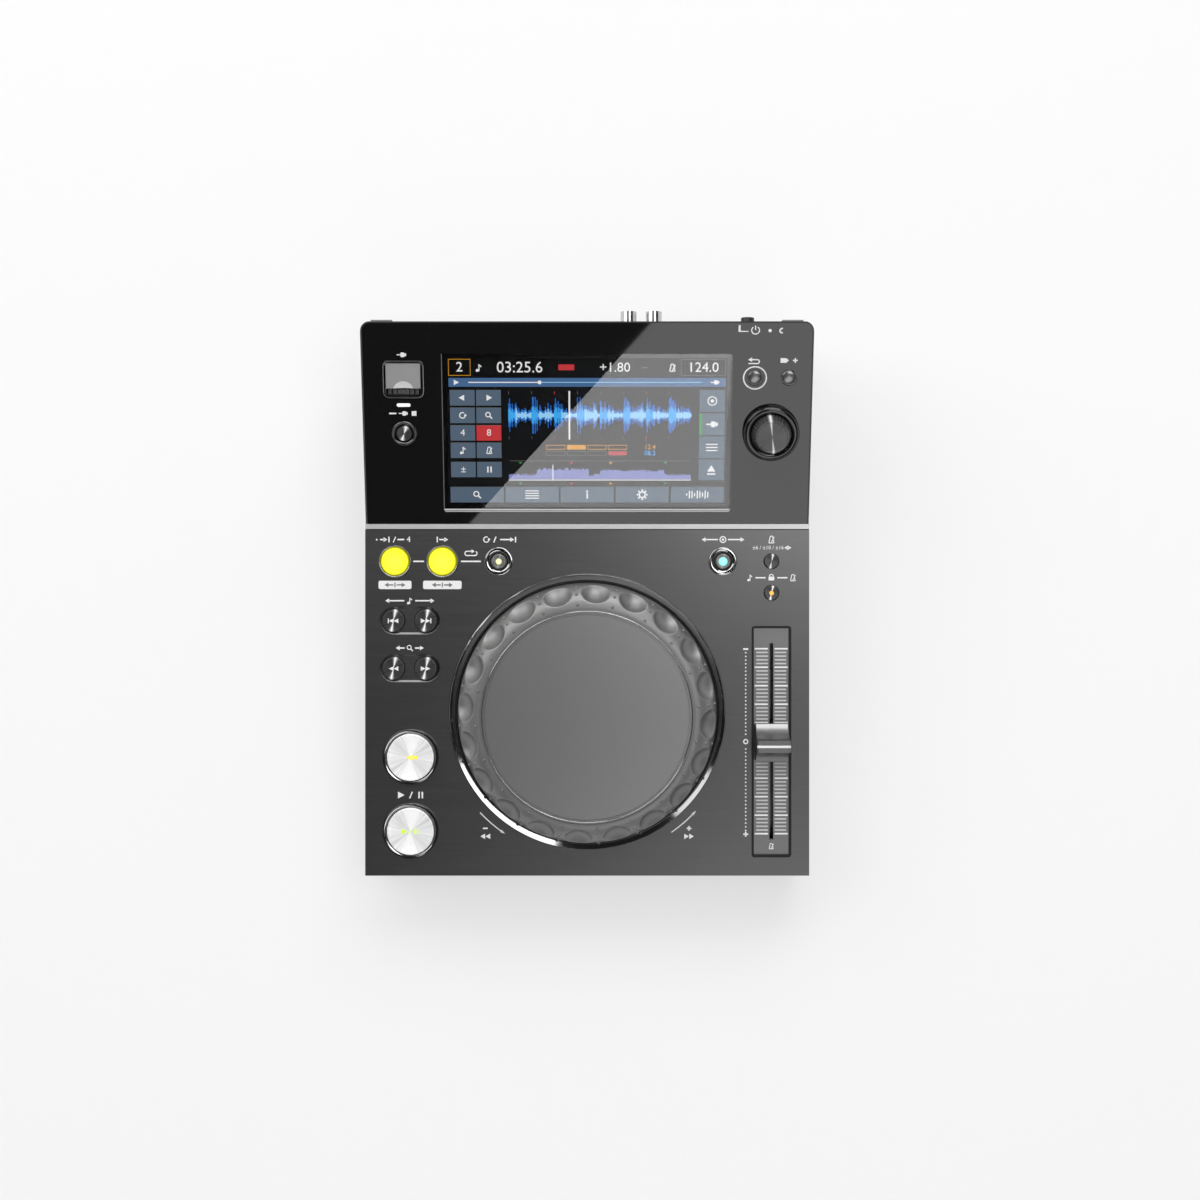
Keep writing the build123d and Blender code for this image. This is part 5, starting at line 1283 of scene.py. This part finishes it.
# Guide line between the parts of the picture
inks["dim"].bar(6.5, -15.6, 92, 0.25)
for name, (color, thickness) in ink_looks.items():
    printed("picture_" + name, inks[name], pixels("picture_" + name, color), SCREEN, thickness)
printed("play_line", play_line, pixels("play_line_white", grey(240)), SCREEN, 0.2)


# Camera, light and floor
def camera():
    """Above the deck and square to it, with the lens shifted to take the whole player in."""
    data = bpy.data.cameras.new("camera")
    view = in_scene("camera", data)
    view.location = (0.003, -0.003, 1.0633)
    view.rotation_euler = (radians(5.5), 0, 0)
    data.lens, data.sensor_width = 58.42, 36
    data.shift_x, data.shift_y = 0.0058, -0.158
    data.clip_end = 50
    bpy.context.scene.camera = view


# Place, aim, width, length, brightness and roll of each lamp, in metres and degrees
softboxes = {
    "front_box": ((0.192, -1.158, 1.6), (0.192, -1.158, 0), 0.6, 1.0, 2.5, -36.9),
    "top_box": ((0.42, 0.1, 1.5), (0.42, 0.1, 0), 0.58, 0.62, 4.4, 0),
    "side_box": ((-0.47, -0.08, 1.5), (-0.47, -0.08, 0), 0.17, 0.22, 2.4, 0),
    "left_box": ((-1.3, 0.9, 1.5), (0, 0, 0), 1.7, 1.5, 2.8, 0),
    "rear_box": ((0.3, 1.6, 1.6), (0, 0, 0), 1.6, 1.3, 4.6, 0),
}


def softbox(name, spot, aim, width, length, radiance, roll):
    """Rectangular lamp that faces its aim, at a given brightness."""
    data = bpy.data.lights.new(name, "AREA")
    data.shape, data.size, data.size_y = "RECTANGLE", width, length
    data.energy = radiance * pi * width * length
    box = in_scene(name, data)
    box.location = spot
    facing = (Vector(aim) - Vector(spot)).to_track_quat("-Z", "Y")
    box.rotation_mode = "QUATERNION"
    box.rotation_quaternion = facing @ Matrix.Rotation(radians(roll), 3, "Z").to_quaternion()


def studio():
    """The lamps, and a world that is paler near the horizon than overhead."""
    for name, values in softboxes.items():
        softbox(name, *values)
    world = bpy.data.worlds.new("studio")
    bpy.context.scene.world = world
    world.use_nodes = True
    tree = world.node_tree
    up = add(tree, "SeparateXYZ", {0: add(tree, "TexCoord").outputs["Generated"]}).outputs["Z"]
    ramp = add(tree, "ValToRGB", {"Fac": up})
    for stop, (place, level) in zip(ramp.color_ramp.elements, ((0.05, 170), (0.5, 48))):
        stop.position, stop.color = place, grey(level)
    tree.links.new(ramp.outputs["Color"], tree.nodes["Background"].inputs["Color"])


def backdrop():
    """Pale floor that sweeps up all round, and shines by a share in what sees it."""
    paper_level, glow_share = 236, 0.6
    bm = turned([(0, 0), (1500, 0), (1900, 60), (2200, 300), (2350, 700), (2400, 1200)], steps=64)
    bmesh.ops.reverse_faces(bm, faces=[f for f in bm.faces if f.normal.z < 0])
    mesh = as_mesh("sweep", bm, METRES)
    mesh.shade_smooth()
    sweep = in_scene("sweep", mesh)
    material = bpy.data.materials.new("pale_sweep")
    material.use_nodes = True
    tree = material.node_tree
    paper = add(tree, "BsdfDiffuse", {"Color": grey(paper_level)})
    glow = add(tree, "Emission", {"Color": (1, 1, 1, 1), "Strength": 1.0})
    ray = add(tree, "LightPath").outputs
    mirrored = calc(tree, "ADD", ray["Is Glossy Ray"], ray["Is Transmission Ray"])
    seen = calc(tree, "ADD", ray["Is Camera Ray"], mirrored)
    share = calc(tree, "MULTIPLY", calc(tree, "MINIMUM", seen, 1.0), glow_share)
    mix = add(tree, "MixShader", {0: share, 1: paper.outputs[0], 2: glow.outputs[0]})
    tree.links.new(mix.outputs[0], tree.nodes["Material Output"].inputs["Surface"])
    mesh.materials.append(material)


camera()
studio()
backdrop()
